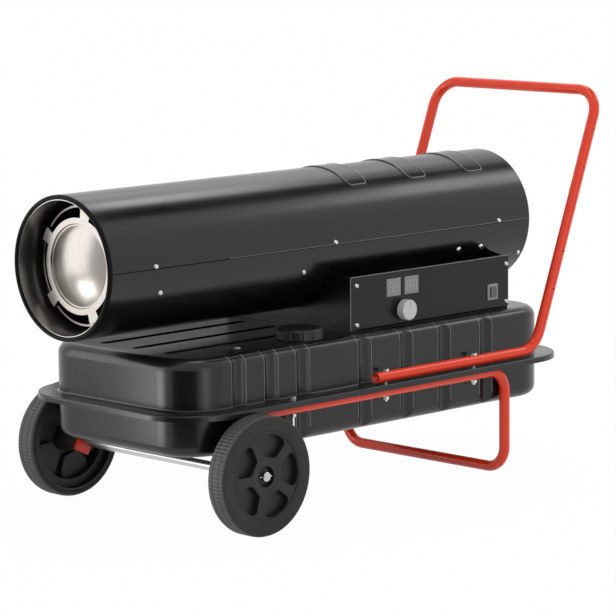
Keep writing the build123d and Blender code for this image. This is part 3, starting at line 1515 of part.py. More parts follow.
def pocket_outline(side, y, grow):
    """Five rounded pockets around the hub, each grown by a wall."""
    with BuildSketch(wheel_plane(side, y)) as sketch:
        for k in range(pocket_count):
            turn = pocket_turn[side] + 360.0 * k / pocket_count
            with Locations(Location((0, 0, 0), (0, 0, turn))):
                half_outer = pocket_outer * sin(radians(pocket_outer_angle))
                shoulder = pocket_outer * cos(radians(pocket_outer_angle))
                Polygon(
                    (pocket_inner, -pocket_inner_half),
                    (shoulder, -half_outer),
                    (pocket_outer, -half_outer * 0.3),
                    (pocket_outer, half_outer * 0.3),
                    (shoulder, half_outer),
                    (pocket_inner, pocket_inner_half),
                    align=None,
                )
        fillet(sketch.vertices(), pocket_round)
        if grow:
            offset(amount=grow)
    return sketch.sketch


def wheel_disc(side):
    """The moulded wheel: rim, web with five pockets, and hub on the axle."""
    with BuildPart() as disc:
        with BuildSketch(Plane(origin=(axle_x, 0, axle_z), x_dir=(0, side, 0), z_dir=(side, 0, 0))):
            Polygon(
                (hub_inner_y, axle_radius + running_gap),
                (hub_seat_y, axle_radius + running_gap),
                (hub_seat_y, well_radius),
                (hub_outer_y, well_radius),
                (hub_outer_y, hub_radius),
                (web_outer_y, hub_radius + 4),
                (web_outer_y, tyre_inner_radius - rim_wall),
                (wheel_outer_y, tyre_inner_radius - rim_wall + 1),
                (wheel_outer_y - 0.6, tyre_inner_radius),
                (step_y, tyre_inner_radius),
                (step_y, step_radius),
                (wheel_inner_y + 0.6, step_radius),
                (wheel_inner_y + 0.6, step_radius - rim_wall),
                (step_y - rim_wall, step_radius - rim_wall),
                (step_y - rim_wall, tyre_inner_radius - rim_wall),
                (web_outer_y - web_thickness, tyre_inner_radius - rim_wall),
                (web_outer_y - web_thickness, hub_radius),
                (hub_inner_y, hub_radius - 6),
                align=None,
            )
        revolve(axis=axle_line)
        inwards = (0, -side, 0)
        walls = pocket_outline(side, web_outer_y - web_thickness / 2, pocket_wall)
        extrude(walls, amount=pocket_depth + pocket_wall - web_thickness / 2, dir=inwards)
        hollows = pocket_outline(side, web_outer_y + 1, 0.0)
        extrude(hollows, amount=pocket_depth + 1, dir=inwards, mode=Mode.SUBTRACT)
    return disc.part


tread_groove = 3.0
tread_depth = 2.0


def tyre(side):
    """The ribbed tyre, with two grooves round its tread."""
    middle = (wheel_inner_y + wheel_outer_y) / 2
    third = tyre_width / 6
    floor_radius = wheel_radius - tread_depth
    with BuildPart() as ring:
        with BuildSketch(Plane(origin=(axle_x, 0, axle_z), x_dir=(0, side, 0), z_dir=(side, 0, 0))):
            Polygon(
                (wheel_inner_y + 1, step_radius + press_gap),
                (step_y + press_gap, step_radius + press_gap),
                (step_y + press_gap, tyre_inner_radius + press_gap),
                (wheel_outer_y - 1, tyre_inner_radius + press_gap),
                (wheel_outer_y, tyre_inner_radius + 1.5),
                (wheel_outer_y, wheel_radius - 6),
                (wheel_outer_y - 3, wheel_radius - 1),
                (wheel_outer_y - 6, wheel_radius),
                (middle + third + tread_groove / 2, wheel_radius),
                (middle + third, floor_radius),
                (middle + third - tread_groove / 2, wheel_radius),
                (middle - third + tread_groove / 2, wheel_radius),
                (middle - third, floor_radius),
                (middle - third - tread_groove / 2, wheel_radius),
                (wheel_inner_y + 6, wheel_radius),
                (wheel_inner_y + 3, wheel_radius - 1),
                (wheel_inner_y, wheel_radius - 6),
                (wheel_inner_y, step_radius + 1.5),
                align=None,
            )
        revolve(axis=axle_line)
    return ring.part


for side, side_name in ((-1, "near"), (1, "far")):
    finish(wheel_disc(side), side_name + "_wheel_disc")
    finish(tyre(side), side_name + "_tyre")

with BuildPart() as axle_washers:
    for side in both_sides:
        for start_y in (tab_face_y, hub_seat_y + 0.3):
            with BuildSketch(wheel_plane(side, start_y)) as washer_outline:
                Circle(washer_radius)
                Circle(axle_radius + press_gap, mode=Mode.SUBTRACT)
            extrude(amount=washer_thickness)
finish(axle_washers.part, "axle_washers")

pin_tail = 4.5  # pin past the axle on the front side
pin_neck = 1.5  # pin before its eye on the rear side
eye_half = 1.2
eye_radius = 2.6
eye_hole = 1.1
with BuildPart() as split_pins:
    for side in both_sides:
        pin_start = (axle_x - axle_radius - pin_tail, side * pin_y, axle_z)
        with BuildSketch(Plane(origin=pin_start, x_dir=(0, 1, 0), z_dir=(1, 0, 0))) as pin_outline:
            Circle(pin_radius)
        extrude(amount=2 * axle_radius + pin_tail + pin_neck)
        with BuildSketch(Plane.XY.offset(axle_z - eye_half)) as pin_eye:
            with Locations((axle_x + axle_radius + pin_neck + eye_radius - 0.5, side * pin_y)):
                Circle(eye_radius)
                Circle(eye_hole, mode=Mode.SUBTRACT)
        extrude(amount=2 * eye_half)
finish(split_pins.part, "split_pins")

# ---------------------------------------------------------------- screws
head_radius = 4.2
head_height = 2.4
shank_radius = 1.9


def screw_group(planes, shank_length, radius=head_radius, height=head_height, shank=shank_radius):
    """Round-headed screws seated on the given planes, facing outwards."""
    with BuildPart() as group:
        with BuildSketch(*planes):
            Circle(radius)
        extrude(amount=height, taper=25)
        with BuildSketch(*planes):
            Circle(shank)
        extrude(amount=-shank_length)
    return group.part


seat = barrel_radius + press_gap
seam_screw_planes = [on_barrel(x, a, seat) for x in seam_screw_x for a in seam_screw_angles]
finish(screw_group(seam_screw_planes, 5.0), "seam_screws")
shield_screw_seats = [
    on_barrel(x, a, seat) for x in shield_screw_x for a in (shield_screw_angle, mirrored(shield_screw_angle))
]
grille_screw_seats = [on_barrel(grille_screw_x, a, seat) for a in grille_screw_angles]
finish(screw_group(shield_screw_seats + grille_screw_seats, 8.0), "shell_screws")
motor_bolt_seats = [
    on_barrel(x, a, seat) for x in motor_bolt_x for a in (motor_bolt_angle, mirrored(motor_bolt_angle))
]
finish(screw_group(motor_bolt_seats, 8.0, 5.6, 3.6, screw_hole + 0.8), "motor_bolts")
rivet_planes = [on_barrel(x, a, seat) for x in seam_screw_x for a in (rivet_angle, mirrored(rivet_angle))]
finish(screw_group(rivet_planes, 3.0, 2.2, 0.8, rivet_hole - running_gap), "seam_rivets")
panel_screw_planes = [
    Plane(origin=(x, panel_front_y, z), x_dir=(1, 0, 0), z_dir=(0, -1, 0))
    for x in panel_screw_x
    for z in panel_screw_z
]
finish(screw_group(panel_screw_planes, 8.0), "panel_screws")
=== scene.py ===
# %% [markdown]
# # A forced air heater, dressed for its portrait
#
# The heater is a long black barrel on a sheet-metal cradle, bolted to a pressed fuel
# tank, with an orange-red tube frame and two solid-tyred wheels. Its solids come ready
# made from CAD as a fixed frame. These cells only add what CAD leaves out: the camera,
# the light, the finishes, and a few pieces worked out with numpy.

from math import cos, pi, radians, sin, tau

import bpy
import numpy as np
from mathutils import Matrix


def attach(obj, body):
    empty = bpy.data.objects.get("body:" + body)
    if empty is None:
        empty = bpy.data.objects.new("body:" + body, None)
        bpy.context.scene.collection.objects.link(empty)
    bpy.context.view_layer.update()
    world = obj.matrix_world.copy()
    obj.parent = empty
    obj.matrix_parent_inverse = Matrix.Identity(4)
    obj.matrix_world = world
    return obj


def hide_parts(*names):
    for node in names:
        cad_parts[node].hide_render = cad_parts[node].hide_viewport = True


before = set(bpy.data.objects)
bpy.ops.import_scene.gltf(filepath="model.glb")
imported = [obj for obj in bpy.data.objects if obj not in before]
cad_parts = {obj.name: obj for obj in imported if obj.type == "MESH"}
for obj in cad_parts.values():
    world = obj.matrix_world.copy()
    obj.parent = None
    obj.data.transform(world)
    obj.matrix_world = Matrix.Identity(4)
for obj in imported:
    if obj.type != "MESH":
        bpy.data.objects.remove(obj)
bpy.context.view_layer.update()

# %% [markdown]
# ## The camera
#
# A product photographer stands well back with a long lens, so the heater's parallel
# lines stay nearly parallel. The camera's place was worked out from known lengths on
# the heater, such as the wheels and the tank's rim. A camera matrix is made of three
# directions: right, up and backwards. Building it from angles keeps the numbers few.

# %% Camera from its place and three angles
camera_place = np.array([-3.7570, -3.8025, 1.1075])
camera_azimuth = radians(-44.65)
camera_elevation = radians(8.449)
camera_roll = radians(-0.539)
camera_lens = 179.74
backwards = np.array(
    [
        sin(camera_azimuth) * cos(camera_elevation),
        -cos(camera_azimuth) * cos(camera_elevation),
        sin(camera_elevation),
    ]
)
level_right = np.array([cos(camera_azimuth), sin(camera_azimuth), 0.0])
level_up = np.cross(backwards, level_right)
camera_right = cos(camera_roll) * level_right + sin(camera_roll) * level_up
camera_up = -sin(camera_roll) * level_right + cos(camera_roll) * level_up

camera_matrix = np.identity(4)
camera_matrix[:3, 0] = camera_right
camera_matrix[:3, 1] = camera_up
camera_matrix[:3, 2] = backwards
camera_matrix[:3, 3] = camera_place
camera_data = bpy.data.cameras.new("portrait camera")
camera_data.lens = camera_lens
camera_data.sensor_width = 36.0
camera_data.clip_end = 60.0
camera = bpy.data.objects.new("portrait camera", camera_data)
camera.matrix_world = Matrix(camera_matrix.tolist())
bpy.context.collection.objects.link(camera)
bpy.context.scene.camera = camera
print("camera at", camera_place, "lens", camera_lens)

# %% [markdown]
# ## The room
#
# A black object shows mostly what it reflects. The studio is white all round, so the
# paint's mirror image of it is a plain dark grey. Softboxes add the light bands along
# the barrel, and cards that only mirror rays see finish the picture: black ones carve the
# dark bands, glowing ones light the tank's corners and the flame disc. The floor and the
# sky look white to the camera and to reflections, and light the heater more gently.


# %% Helpers for node trees
def node(tree, kind, **settings):
    """One shader node; a setting whose name is an input's name sets that input."""
    made = tree.nodes.new(kind)
    for name, value in settings.items():
        if name in made.inputs:
            made.inputs[name].default_value = value
        else:
            setattr(made, name, value)
    return made


def link(tree, start, end):
    """Joins an output to an input."""
    tree.links.new(start, end)


def seen_directly(tree):
    """1 for camera, glossy and transmission rays: the rays that see the background itself."""
    path = node(tree, "ShaderNodeLightPath")
    first = node(tree, "ShaderNodeMath", operation="MAXIMUM")
    link(tree, path.outputs["Is Camera Ray"], first.inputs[0])
    link(tree, path.outputs["Is Glossy Ray"], first.inputs[1])
    both = node(tree, "ShaderNodeMath", operation="MAXIMUM")
    link(tree, first.outputs[0], both.inputs[0])
    link(tree, path.outputs["Is Transmission Ray"], both.inputs[1])
    return both.outputs[0]


# %% World and floor
scene = bpy.context.scene
scene.view_settings.view_transform = "Standard"
room_light = 0.85
world = bpy.data.worlds.new("white studio")
world.use_nodes = True
scene.world = world
sky = world.node_tree
sky.nodes.clear()
sky_level = node(sky, "ShaderNodeMapRange")
sky_level.inputs["To Min"].default_value = room_light
sky_level.inputs["To Max"].default_value = 1.0
link(sky, seen_directly(sky), sky_level.inputs["Value"])
sky_shader = node(sky, "ShaderNodeBackground", Color=(1.0, 1.0, 1.0, 1.0))
link(sky, sky_level.outputs[0], sky_shader.inputs["Strength"])
sky_out = node(sky, "ShaderNodeOutputWorld")
link(sky, sky_shader.outputs[0], sky_out.inputs["Surface"])

floor_half = 40.0
floor_glow = 0.975
floor_mesh = bpy.data.meshes.new("floor")
floor_mesh.from_pydata(
    [(a * floor_half, b * floor_half, 0) for a, b in ((-1, -1), (1, -1), (1, 1), (-1, 1))],
    [],
    [(0, 1, 2, 3)],
)
floor = bpy.data.objects.new("floor", floor_mesh)
bpy.context.collection.objects.link(floor)
floor_paint = bpy.data.materials.new("white floor")
floor_paint.use_nodes = True
floor_tree = floor_paint.node_tree
floor_tree.nodes.clear()
floor_matt = node(floor_tree, "ShaderNodeBsdfDiffuse", Color=(0.86, 0.86, 0.86, 1.0))
floor_white = node(floor_tree, "ShaderNodeEmission", Color=(1.0, 1.0, 1.0, 1.0), Strength=1.0)
floor_share = node(floor_tree, "ShaderNodeMath", operation="MULTIPLY")
floor_share.inputs[1].default_value = floor_glow
link(floor_tree, seen_directly(floor_tree), floor_share.inputs[0])
floor_mix = node(floor_tree, "ShaderNodeMixShader")
link(floor_tree, floor_share.outputs[0], floor_mix.inputs["Fac"])
link(floor_tree, floor_matt.outputs[0], floor_mix.inputs[1])
link(floor_tree, floor_white.outputs[0], floor_mix.inputs[2])
floor_out = node(floor_tree, "ShaderNodeOutputMaterial")
link(floor_tree, floor_mix.outputs[0], floor_out.inputs["Surface"])
floor_mesh.materials.append(floor_paint)
print("floor", 2 * floor_half, "m across")


# %% Softboxes and cards
def facing(centre, target):
    """A 4x4 place whose +Z looks from the target towards the centre; target None faces down."""
    place = np.identity(4)
    place[:3, 3] = centre
    if target is None:
        return place
    along = np.array(centre, float) - np.array(target, float)
    along = along / np.linalg.norm(along)
    level = np.cross([0.0, 0.0, 1.0], along)
    level = level / np.linalg.norm(level)
    place[:3, 0], place[:3, 1], place[:3, 2] = level, np.cross(along, level), along
    return place


def softbox(name, centre, target, size, glow):
    """A rectangular lamp at a centre, facing a target; glow is its brightness, where 1 is white."""
    lamp_data = bpy.data.lights.new(name, "AREA")
    lamp_data.shape = "RECTANGLE"
    lamp_data.size, lamp_data.size_y = size
    lamp_data.energy = glow * pi * size[0] * size[1]
    lamp = bpy.data.objects.new(name, lamp_data)
    lamp.matrix_world = Matrix(facing(centre, target).tolist())
    lamp.visible_camera = False
    bpy.context.collection.objects.link(lamp)


def card(name, centre, target, size, glow=0.0):
    """A card that only mirror rays see: black to darken a reflection, or glowing to light one."""
    paint = bpy.data.materials.new(name)
    paint.use_nodes = True
    paint.node_tree.nodes.clear()
    shader = node(paint.node_tree, "ShaderNodeEmission", Color=(1.0, 1.0, 1.0, 1.0), Strength=glow)
    out = node(paint.node_tree, "ShaderNodeOutputMaterial")
    link(paint.node_tree, shader.outputs[0], out.inputs["Surface"])
    half = np.array(size) / 2
    mesh = bpy.data.meshes.new(name)
    corners = [(a * half[0], b * half[1], 0) for a, b in ((-1, -1), (1, -1), (1, 1), (-1, 1))]
    mesh.from_pydata(corners, [], [(0, 1, 2, 3)])
    mesh.materials.append(paint)
    made = bpy.data.objects.new(name, mesh)
    made.matrix_world = Matrix(facing(centre, target).tolist())
    bpy.context.collection.objects.link(made)
    made.visible_camera = made.visible_diffuse = False
    made.visible_shadow = made.visible_transmission = False


roof = 2.4
under_roof = roof - 0.02
tank_middle = (0.0, 0.0, 0.2)
softbox("left barrel softbox", (1.35, 0.66, roof), None, (0.75, 0.56), 3.6)
softbox("wide rear softbox", (1.75, 1.75, roof), None, (2.1, 1.6), 0.7)
softbox("right barrel softbox", (2.72, -0.82, roof), None, (1.35, 0.85), 3.2)
card("overhead glow", (0.12, 0.05, roof), None, (1.0, 0.6), 3.0)
softbox("front left softbox", (-2.2, 1.6, 1.1), (-0.45, -0.1, 0.3), (0.9, 1.2), 1.9)
softbox("near softbox", (-0.6, -3.4, 1.5), tank_middle, (1.6, 0.9), 1.2)
card("upper dark card", (1.15, -0.11, under_roof), None, (1.45, 0.78))
card("right dark card", (2.3, 0.1, under_roof), None, (0.85, 0.58))
front_corner = (-0.43, -0.16, 0.2)
card("corner glow", (-1.05, 0.33, 0.1), front_corner, (0.31, 0.2), 6.4)
card("dome glow", (-1.30, 0.76, 0.70), (-0.5, 0.0, 0.44), (0.86, 1.15), 3.1)
card("corner dark", (-0.95, -0.46, 0.2), front_corner, (0.80, 0.4))
card("second corner glow", (-0.50, -1.05, 0.2), front_corner, (0.26, 0.4), 2.5)
card("far dim card", (0.37, 0.67, 0.40), (-0.3, 0.0, 0.3), (0.62, 0.26), 0.12)
print("five softboxes, eight cards")

# %% [markdown]
# ## Effects that several finishes share
#
# Powder coat is never quite even: it has a fine orange-peel ripple and slightly duller
# patches. Sheet steel has long fine scratches. Both could be pictures laid on the metal,
# but noise worked out from each point's place needs no file and never repeats. They go
# into node groups with named inputs, so every material can use them with its own values.


# %% Group maker
def new_group(name, inputs, outputs):
    """An empty shader node group with float or colour sockets; returns it with its two ends."""
    group = bpy.data.node_groups.new(name, "ShaderNodeTree")
    for label, kind, value in inputs:
        socket = group.interface.new_socket(name=label, in_out="INPUT", socket_type=kind)
        if value is not None:
            socket.default_value = value
    for label, kind in outputs:
        group.interface.new_socket(name=label, in_out="OUTPUT", socket_type=kind)
    return group, node(group, "NodeGroupInput"), node(group, "NodeGroupOutput")


FLOAT, COLOUR = "NodeSocketFloat", "NodeSocketColor"
# A Mix node has sockets of the same name for each kind of value, so its colours go by number.
MIX_FIRST, MIX_SECOND, MIX_RESULT = 6, 7, 2

# %% Orange peel: a fine ripple and dull patches
peel, peel_in, peel_out = new_group(
    "orange peel",
    [("Fineness", FLOAT, 900.0), ("Gloss Low", FLOAT, 0.30), ("Gloss High", FLOAT, 0.45)],
    [("Ripple", FLOAT), ("Roughness", FLOAT)],
)
peel_place = node(peel, "ShaderNodeTexCoord")
peel_fine = node(peel, "ShaderNodeTexNoise", Detail=2.0, Roughness=0.6)
link(peel, peel_place.outputs["Object"], peel_fine.inputs["Vector"])
link(peel, peel_in.outputs["Fineness"], peel_fine.inputs["Scale"])
link(peel, peel_fine.outputs["Fac"], peel_out.inputs["Ripple"])
peel_broad = node(peel, "ShaderNodeTexNoise", Scale=7.0, Detail=3.0)
link(peel, peel_place.outputs["Object"], peel_broad.inputs["Vector"])
peel_range = node(peel, "ShaderNodeMapRange")
peel_range.inputs["From Min"].default_value = 0.3
peel_range.inputs["From Max"].default_value = 0.7
link(peel, peel_broad.outputs["Fac"], peel_range.inputs["Value"])
link(peel, peel_in.outputs["Gloss Low"], peel_range.inputs["To Min"])
link(peel, peel_in.outputs["Gloss High"], peel_range.inputs["To Max"])
link(peel, peel_range.outputs[0], peel_out.inputs["Roughness"])

# %% Drawn marks: long fine scratches along one direction
drawn, drawn_in, drawn_out = new_group(
    "drawn marks",
    [("Along X", FLOAT, 4.0), ("Along Y", FLOAT, 900.0), ("Along Z", FLOAT, 900.0)],
    [("Mark", FLOAT)],
)
drawn_place = node(drawn, "ShaderNodeTexCoord")
drawn_stretch = node(drawn, "ShaderNodeCombineXYZ")
for axis_name in "XYZ":
    link(drawn, drawn_in.outputs["Along " + axis_name], drawn_stretch.inputs[axis_name])
drawn_scaled = node(drawn, "ShaderNodeVectorMath", operation="MULTIPLY")
link(drawn, drawn_place.outputs["Object"], drawn_scaled.inputs[0])
link(drawn, drawn_stretch.outputs[0], drawn_scaled.inputs[1])
drawn_noise = node(drawn, "ShaderNodeTexNoise", Scale=1.0, Detail=3.0)
link(drawn, drawn_scaled.outputs[0], drawn_noise.inputs["Vector"])
link(drawn, drawn_noise.outputs["Fac"], drawn_out.inputs["Mark"])

# %% Faint handling: a broad mask of slightly paler, duller places
handling, handling_in, handling_out = new_group(
    "faint handling",
    [
        ("Clean", COLOUR, (0.02, 0.02, 0.02, 1.0)),
        ("Worn", COLOUR, (0.04, 0.04, 0.04, 1.0)),
        ("Amount", FLOAT, 0.5),
    ],
    [("Color", COLOUR)],
)
handling_place = node(handling, "ShaderNodeTexCoord")
handling_noise = node(handling, "ShaderNodeTexNoise", Scale=5.0, Detail=6.0, Roughness=0.65)
link(handling, handling_place.outputs["Object"], handling_noise.inputs["Vector"])
handling_share = node(handling, "ShaderNodeMapRange")
handling_share.inputs["From Min"].default_value = 0.45
handling_share.inputs["From Max"].default_value = 0.75
link(handling, handling_noise.outputs["Fac"], handling_share.inputs["Value"])
link(handling, handling_in.outputs["Amount"], handling_share.inputs["To Max"])
handling_mix = node(handling, "ShaderNodeMix", data_type="RGBA")
link(handling, handling_share.outputs[0], handling_mix.inputs["Factor"])
link(handling, handling_in.outputs["Clean"], handling_mix.inputs[MIX_FIRST])
link(handling, handling_in.outputs["Worn"], handling_mix.inputs[MIX_SECOND])
link(handling, handling_mix.outputs[MIX_RESULT], handling_out.inputs["Color"])
print("groups:", [g.name for g in bpy.data.node_groups])

# %% [markdown]
# ## Finishes
#
# Each finish is one Principled material. One flat colour would be enough from far away,
# but up close it looks like plastic. So painted steel takes the orange peel and the faint
# handling, and bare metal takes the drawn marks. Plain numbers, such as metallic or the
# coat, are set on the shader itself.


# %% Material makers
def blank(name):
    """A new material with only its Principled shader and output."""
    material = bpy.data.materials.new(name)
    material.use_nodes = True
    tree = material.node_tree
    tree.nodes.clear()
    shader = node(tree, "ShaderNodeBsdfPrincipled")
    out = node(tree, "ShaderNodeOutputMaterial")
    link(tree, shader.outputs[0], out.inputs["Surface"])
    return material, tree, shader


def put_group(tree, group, **values):
    """Places a shared group with its own values; underscores stand for spaces."""
    made = node(tree, "ShaderNodeGroup")
    made.node_tree = group
    for name, value in values.items():
        made.inputs[name.replace("_", " ")].default_value = value
    return made


def bump(tree, shader, height, strength, depth):
    """Tilts the shader's normal by a height, depth metres high at full strength."""
    made = node(tree, "ShaderNodeBump", Strength=strength, Distance=depth)
    link(tree, height, made.inputs["Height"])
    link(tree, made.outputs[0], shader.inputs["Normal"])


def painted(name, colour, worn, gloss, fineness=900.0, ripple=0.00002, specular=0.5, coat=0.0):
    """Paint, rubber or plastic: an even colour with faint handling and an orange peel ripple."""
    material, tree, shader = blank(name)
    peel_node = put_group(tree, peel, Fineness=fineness, Gloss_Low=gloss[0], Gloss_High=gloss[1])
    link(tree, peel_node.outputs["Roughness"], shader.inputs["Roughness"])
    hand_node = put_group(tree, handling, Clean=(*colour, 1.0), Worn=(*worn, 1.0), Amount=0.6)
    link(tree, hand_node.outputs["Color"], shader.inputs["Base Color"])
    bump(tree, shader, peel_node.outputs["Ripple"], strength=0.35, depth=ripple)
    shader.inputs["Specular IOR Level"].default_value = specular
    shader.inputs["Coat Weight"].default_value = coat
    shader.inputs["Coat Roughness"].default_value = 0.12
    return material


def bare_metal(name, colour, dull, roughness, along=(4.0, 900.0, 900.0), depth=0.00001):
    """Bare metal with fine drawn marks that darken and roughen it a little."""
    material, tree, shader = blank(name)
    marks = put_group(tree, drawn, Along_X=along[0], Along_Y=along[1], Along_Z=along[2])
    mix = node(tree, "ShaderNodeMix", data_type="RGBA")
    link(tree, marks.outputs["Mark"], mix.inputs["Factor"])
    mix.inputs[MIX_FIRST].default_value = (*colour, 1.0)
    mix.inputs[MIX_SECOND].default_value = (*dull, 1.0)
    link(tree, mix.outputs[MIX_RESULT], shader.inputs["Base Color"])
    spread = node(tree, "ShaderNodeMapRange")
    spread.inputs["To Min"].default_value = roughness[0]
    spread.inputs["To Max"].default_value = roughness[1]
    link(tree, marks.outputs["Mark"], spread.inputs["Value"])
    link(tree, spread.outputs[0], shader.inputs["Roughness"])
    bump(tree, shader, marks.outputs["Mark"], strength=0.3, depth=depth)
    shader.inputs["Metallic"].default_value = 1.0
    return material


# %% [markdown]
# ## Paint
#
# The barrel, tank and cradle are black powder coat, the tubes are orange-red and the
# motor is grey enamel. All the black could be one material, but the tank shines more than
# the panel. The outlet's lip and the seams are painted shade, near-black and matt. So each
# has its own, with its gloss given as the lowest and highest roughness.

# %% Painted finishes
barrel_black = painted(
    "barrel powder coat",
    (0.004, 0.004, 0.0042), (0.005, 0.005, 0.005), (0.20, 0.26),
    specular=0.45,
)
tank_black = painted(
    "tank paint",
    (0.006, 0.006, 0.0062), (0.008, 0.008, 0.008), (0.22, 0.28),
    specular=0.42,
)
cradle_black = painted(
    "cradle powder coat",
    (0.004, 0.004, 0.0042), (0.005, 0.005, 0.005), (0.24, 0.30),
    specular=0.28,
)
# Painted shade: a near-black matt paint for the rolled lip, which lies in shade.
lip_shade_black = painted(
    "painted lip shade",
    (0.003, 0.003, 0.003), (0.004, 0.004, 0.004), (0.4, 0.5),
    specular=0.08,
)
# Painted shadow: a near-black matt bead laid in each barrel seam, where the gap lies in shade.
seam_shadow_black = painted(
    "painted seam shadow",
    (0.0008, 0.0008, 0.0008), (0.001, 0.001, 0.001), (0.8, 0.9),
    specular=0.02,
)
tube_orange = painted(
    "orange tube powder coat",
    (0.80, 0.038, 0.004), (0.75, 0.040, 0.005), (0.15, 0.21),
    fineness=700.0, specular=0.34, coat=0.08,
)
motor_grey = painted("motor enamel", (0.07, 0.08, 0.09), (0.09, 0.09, 0.09), (0.4, 0.5))
print(len(bpy.data.materials), "materials after the paints")

# %% [markdown]
# ## Rubber, plastic and ceramic
#
# The tyres are solid rubber, and the tread is painted paler than the walls for the light
# that falls on it. The wheel discs, cap, knob and switch are moulded plastic, and the
# electrodes inside are glazed ceramic. A mould's fine grain could be a picture, but it is
# the same kind of ripple as on paint, only finer and duller, so the same maker serves.

# %% Moulded finishes
# Painted light: the tread is paler than the walls, for the lamps that fall on its face.
lit_tread_rubber = painted(
    "painted sheen tread",
    (0.05, 0.05, 0.05), (0.075, 0.075, 0.074), (0.5, 0.65),
    fineness=1400.0, ripple=0.00004, specular=0.45,
)
tyre_rubber = painted(
    "tyre rubber",
    (0.018, 0.018, 0.0185), (0.026, 0.026, 0.026), (0.62, 0.78),
    fineness=1400.0, ripple=0.00004, specular=0.4,
)
wheel_plastic = painted(
    "wheel plastic",
    (0.011, 0.011, 0.0115), (0.015, 0.015, 0.015), (0.45, 0.56),
    fineness=1600.0, specular=0.4,
)
black_plastic = painted(
    "black plastic",
    (0.008, 0.008, 0.0082), (0.012, 0.012, 0.012), (0.38, 0.48),
    fineness=1600.0, specular=0.4,
)
knob_grey = painted(
    "knob plastic",
    (0.52, 0.52, 0.525), (0.56, 0.56, 0.56), (0.35, 0.45),
    fineness=1600.0, ripple=0.00001, specular=0.45,
)
rocker_grey = painted(
    "rocker plastic",
    (0.10, 0.10, 0.102), (0.13, 0.13, 0.13), (0.22, 0.3),
    fineness=1600.0, ripple=0.00001,
)
bezel_grey = painted(
    "switch bezel plastic",
    (0.20, 0.20, 0.205), (0.24, 0.24, 0.24), (0.25, 0.35),
    fineness=1600.0, ripple=0.00001,
)
window_grey = painted(
    "display window",
    (0.20, 0.205, 0.205), (0.22, 0.22, 0.22), (0.15, 0.2),
    fineness=1200.0, ripple=0.000004,
)
digit_grey = painted(
    "display digits",
    (0.32, 0.325, 0.325), (0.34, 0.34, 0.34), (0.3, 0.4),
    fineness=1200.0, ripple=0.000004,
)
white_plastic = painted("strainer plastic", (0.62, 0.62, 0.58), (0.5, 0.5, 0.46), (0.4, 0.5))
dial_silver = painted("gauge dial", (0.36, 0.36, 0.36), (0.33, 0.33, 0.33), (0.3, 0.4))
board_green = painted("control board green", (0.01, 0.10, 0.035), (0.02, 0.12, 0.04), (0.3, 0.4))
ceramic_white = painted(
    "glazed ceramic",
    (0.72, 0.69, 0.62), (0.66, 0.62, 0.55), (0.12, 0.2),
    fineness=500.0,
)
print(len(bpy.data.materials), "materials after the mouldings")

# %% [markdown]
# ## Bare metal
#
# The axle and screws are bright steel, the chamber and shield inside the barrel are sheet
# steel, and the burner has brass and copper in it. Brushed metal could be an anisotropic
# shader, which streaks its highlights. Fine marks that change the colour and roughness
# are used here, because they can also be baked into plain pictures.

# %% Metal finishes
plated_steel = bare_metal("zinc plated steel", (0.78, 0.78, 0.77), (0.64, 0.64, 0.63), (0.22, 0.34))
# Pale grey metal for thin edge beads: painted highlights where light catches a fold or edge.
painted_highlight_edge = bare_metal("painted highlight edge", (0.30, 0.30, 0.30), (0.20, 0.20, 0.20), (0.25, 0.35))
axle_steel = bare_metal(
    "bright axle steel",
    (0.60, 0.60, 0.60), (0.48, 0.48, 0.48), (0.2, 0.32),
    along=(900.0, 4.0, 900.0),
)
# Blackened steel for the axle washers; on the panel screws it paints the shade in each cross recess.
black_steel_and_recess_shade = bare_metal("blackened steel and painted recess shade", (0.05, 0.05, 0.05), (0.03, 0.03, 0.03), (0.35, 0.45))
chamber_steel = bare_metal(
    "chamber sheet steel",
    (0.32, 0.295, 0.27), (0.28, 0.26, 0.245), (0.22, 0.30),
    along=(6.0, 120.0, 120.0), depth=0.000004,
)
shield_steel = bare_metal(
    "shield sheet steel",
    (0.58, 0.57, 0.55), (0.46, 0.45, 0.44), (0.24, 0.34),
    along=(6.0, 120.0, 120.0), depth=0.000006,
)
cast_aluminium = bare_metal(
    "cast aluminium",
    (0.55, 0.56, 0.57), (0.42, 0.43, 0.44), (0.4, 0.55),
    along=(300.0, 300.0, 300.0),
)
nozzle_brass = bare_metal("nozzle brass", (0.72, 0.50, 0.22), (0.60, 0.41, 0.18), (0.2, 0.3))
line_copper = bare_metal("copper line", (0.72, 0.38, 0.24), (0.55, 0.28, 0.18), (0.22, 0.34))
print(len(bpy.data.materials), "materials after the metals")

# %% [markdown]
# ## Clear lens
#
# A clear plastic lens covers the fuel gauge. It could be a glass shader, but a Principled
# one with full transmission and plain numbers shows the same and stays clear when the
# heater is exported.


# %% Clear finish
def clear_lens():
    """A thin clear plastic: full transmission, plain numbers only."""
    material, tree, shader = blank("clear lens")
    shader.inputs["Base Color"].default_value = (0.94, 0.95, 0.96, 1.0)
    shader.inputs["Roughness"].default_value = 0.05
    shader.inputs["Transmission Weight"].default_value = 1.0
    shader.inputs["IOR"].default_value = 1.45
    return material


lens_clear = clear_lens()
print(len(bpy.data.materials), "materials in all")

# %% [markdown]
# ## Which finish goes where
#
# The CAD nodes keep their shapes, and each wears one finish. That could be set by hand in
# the editor, but a table from node name to finish can be read and changed in one place.

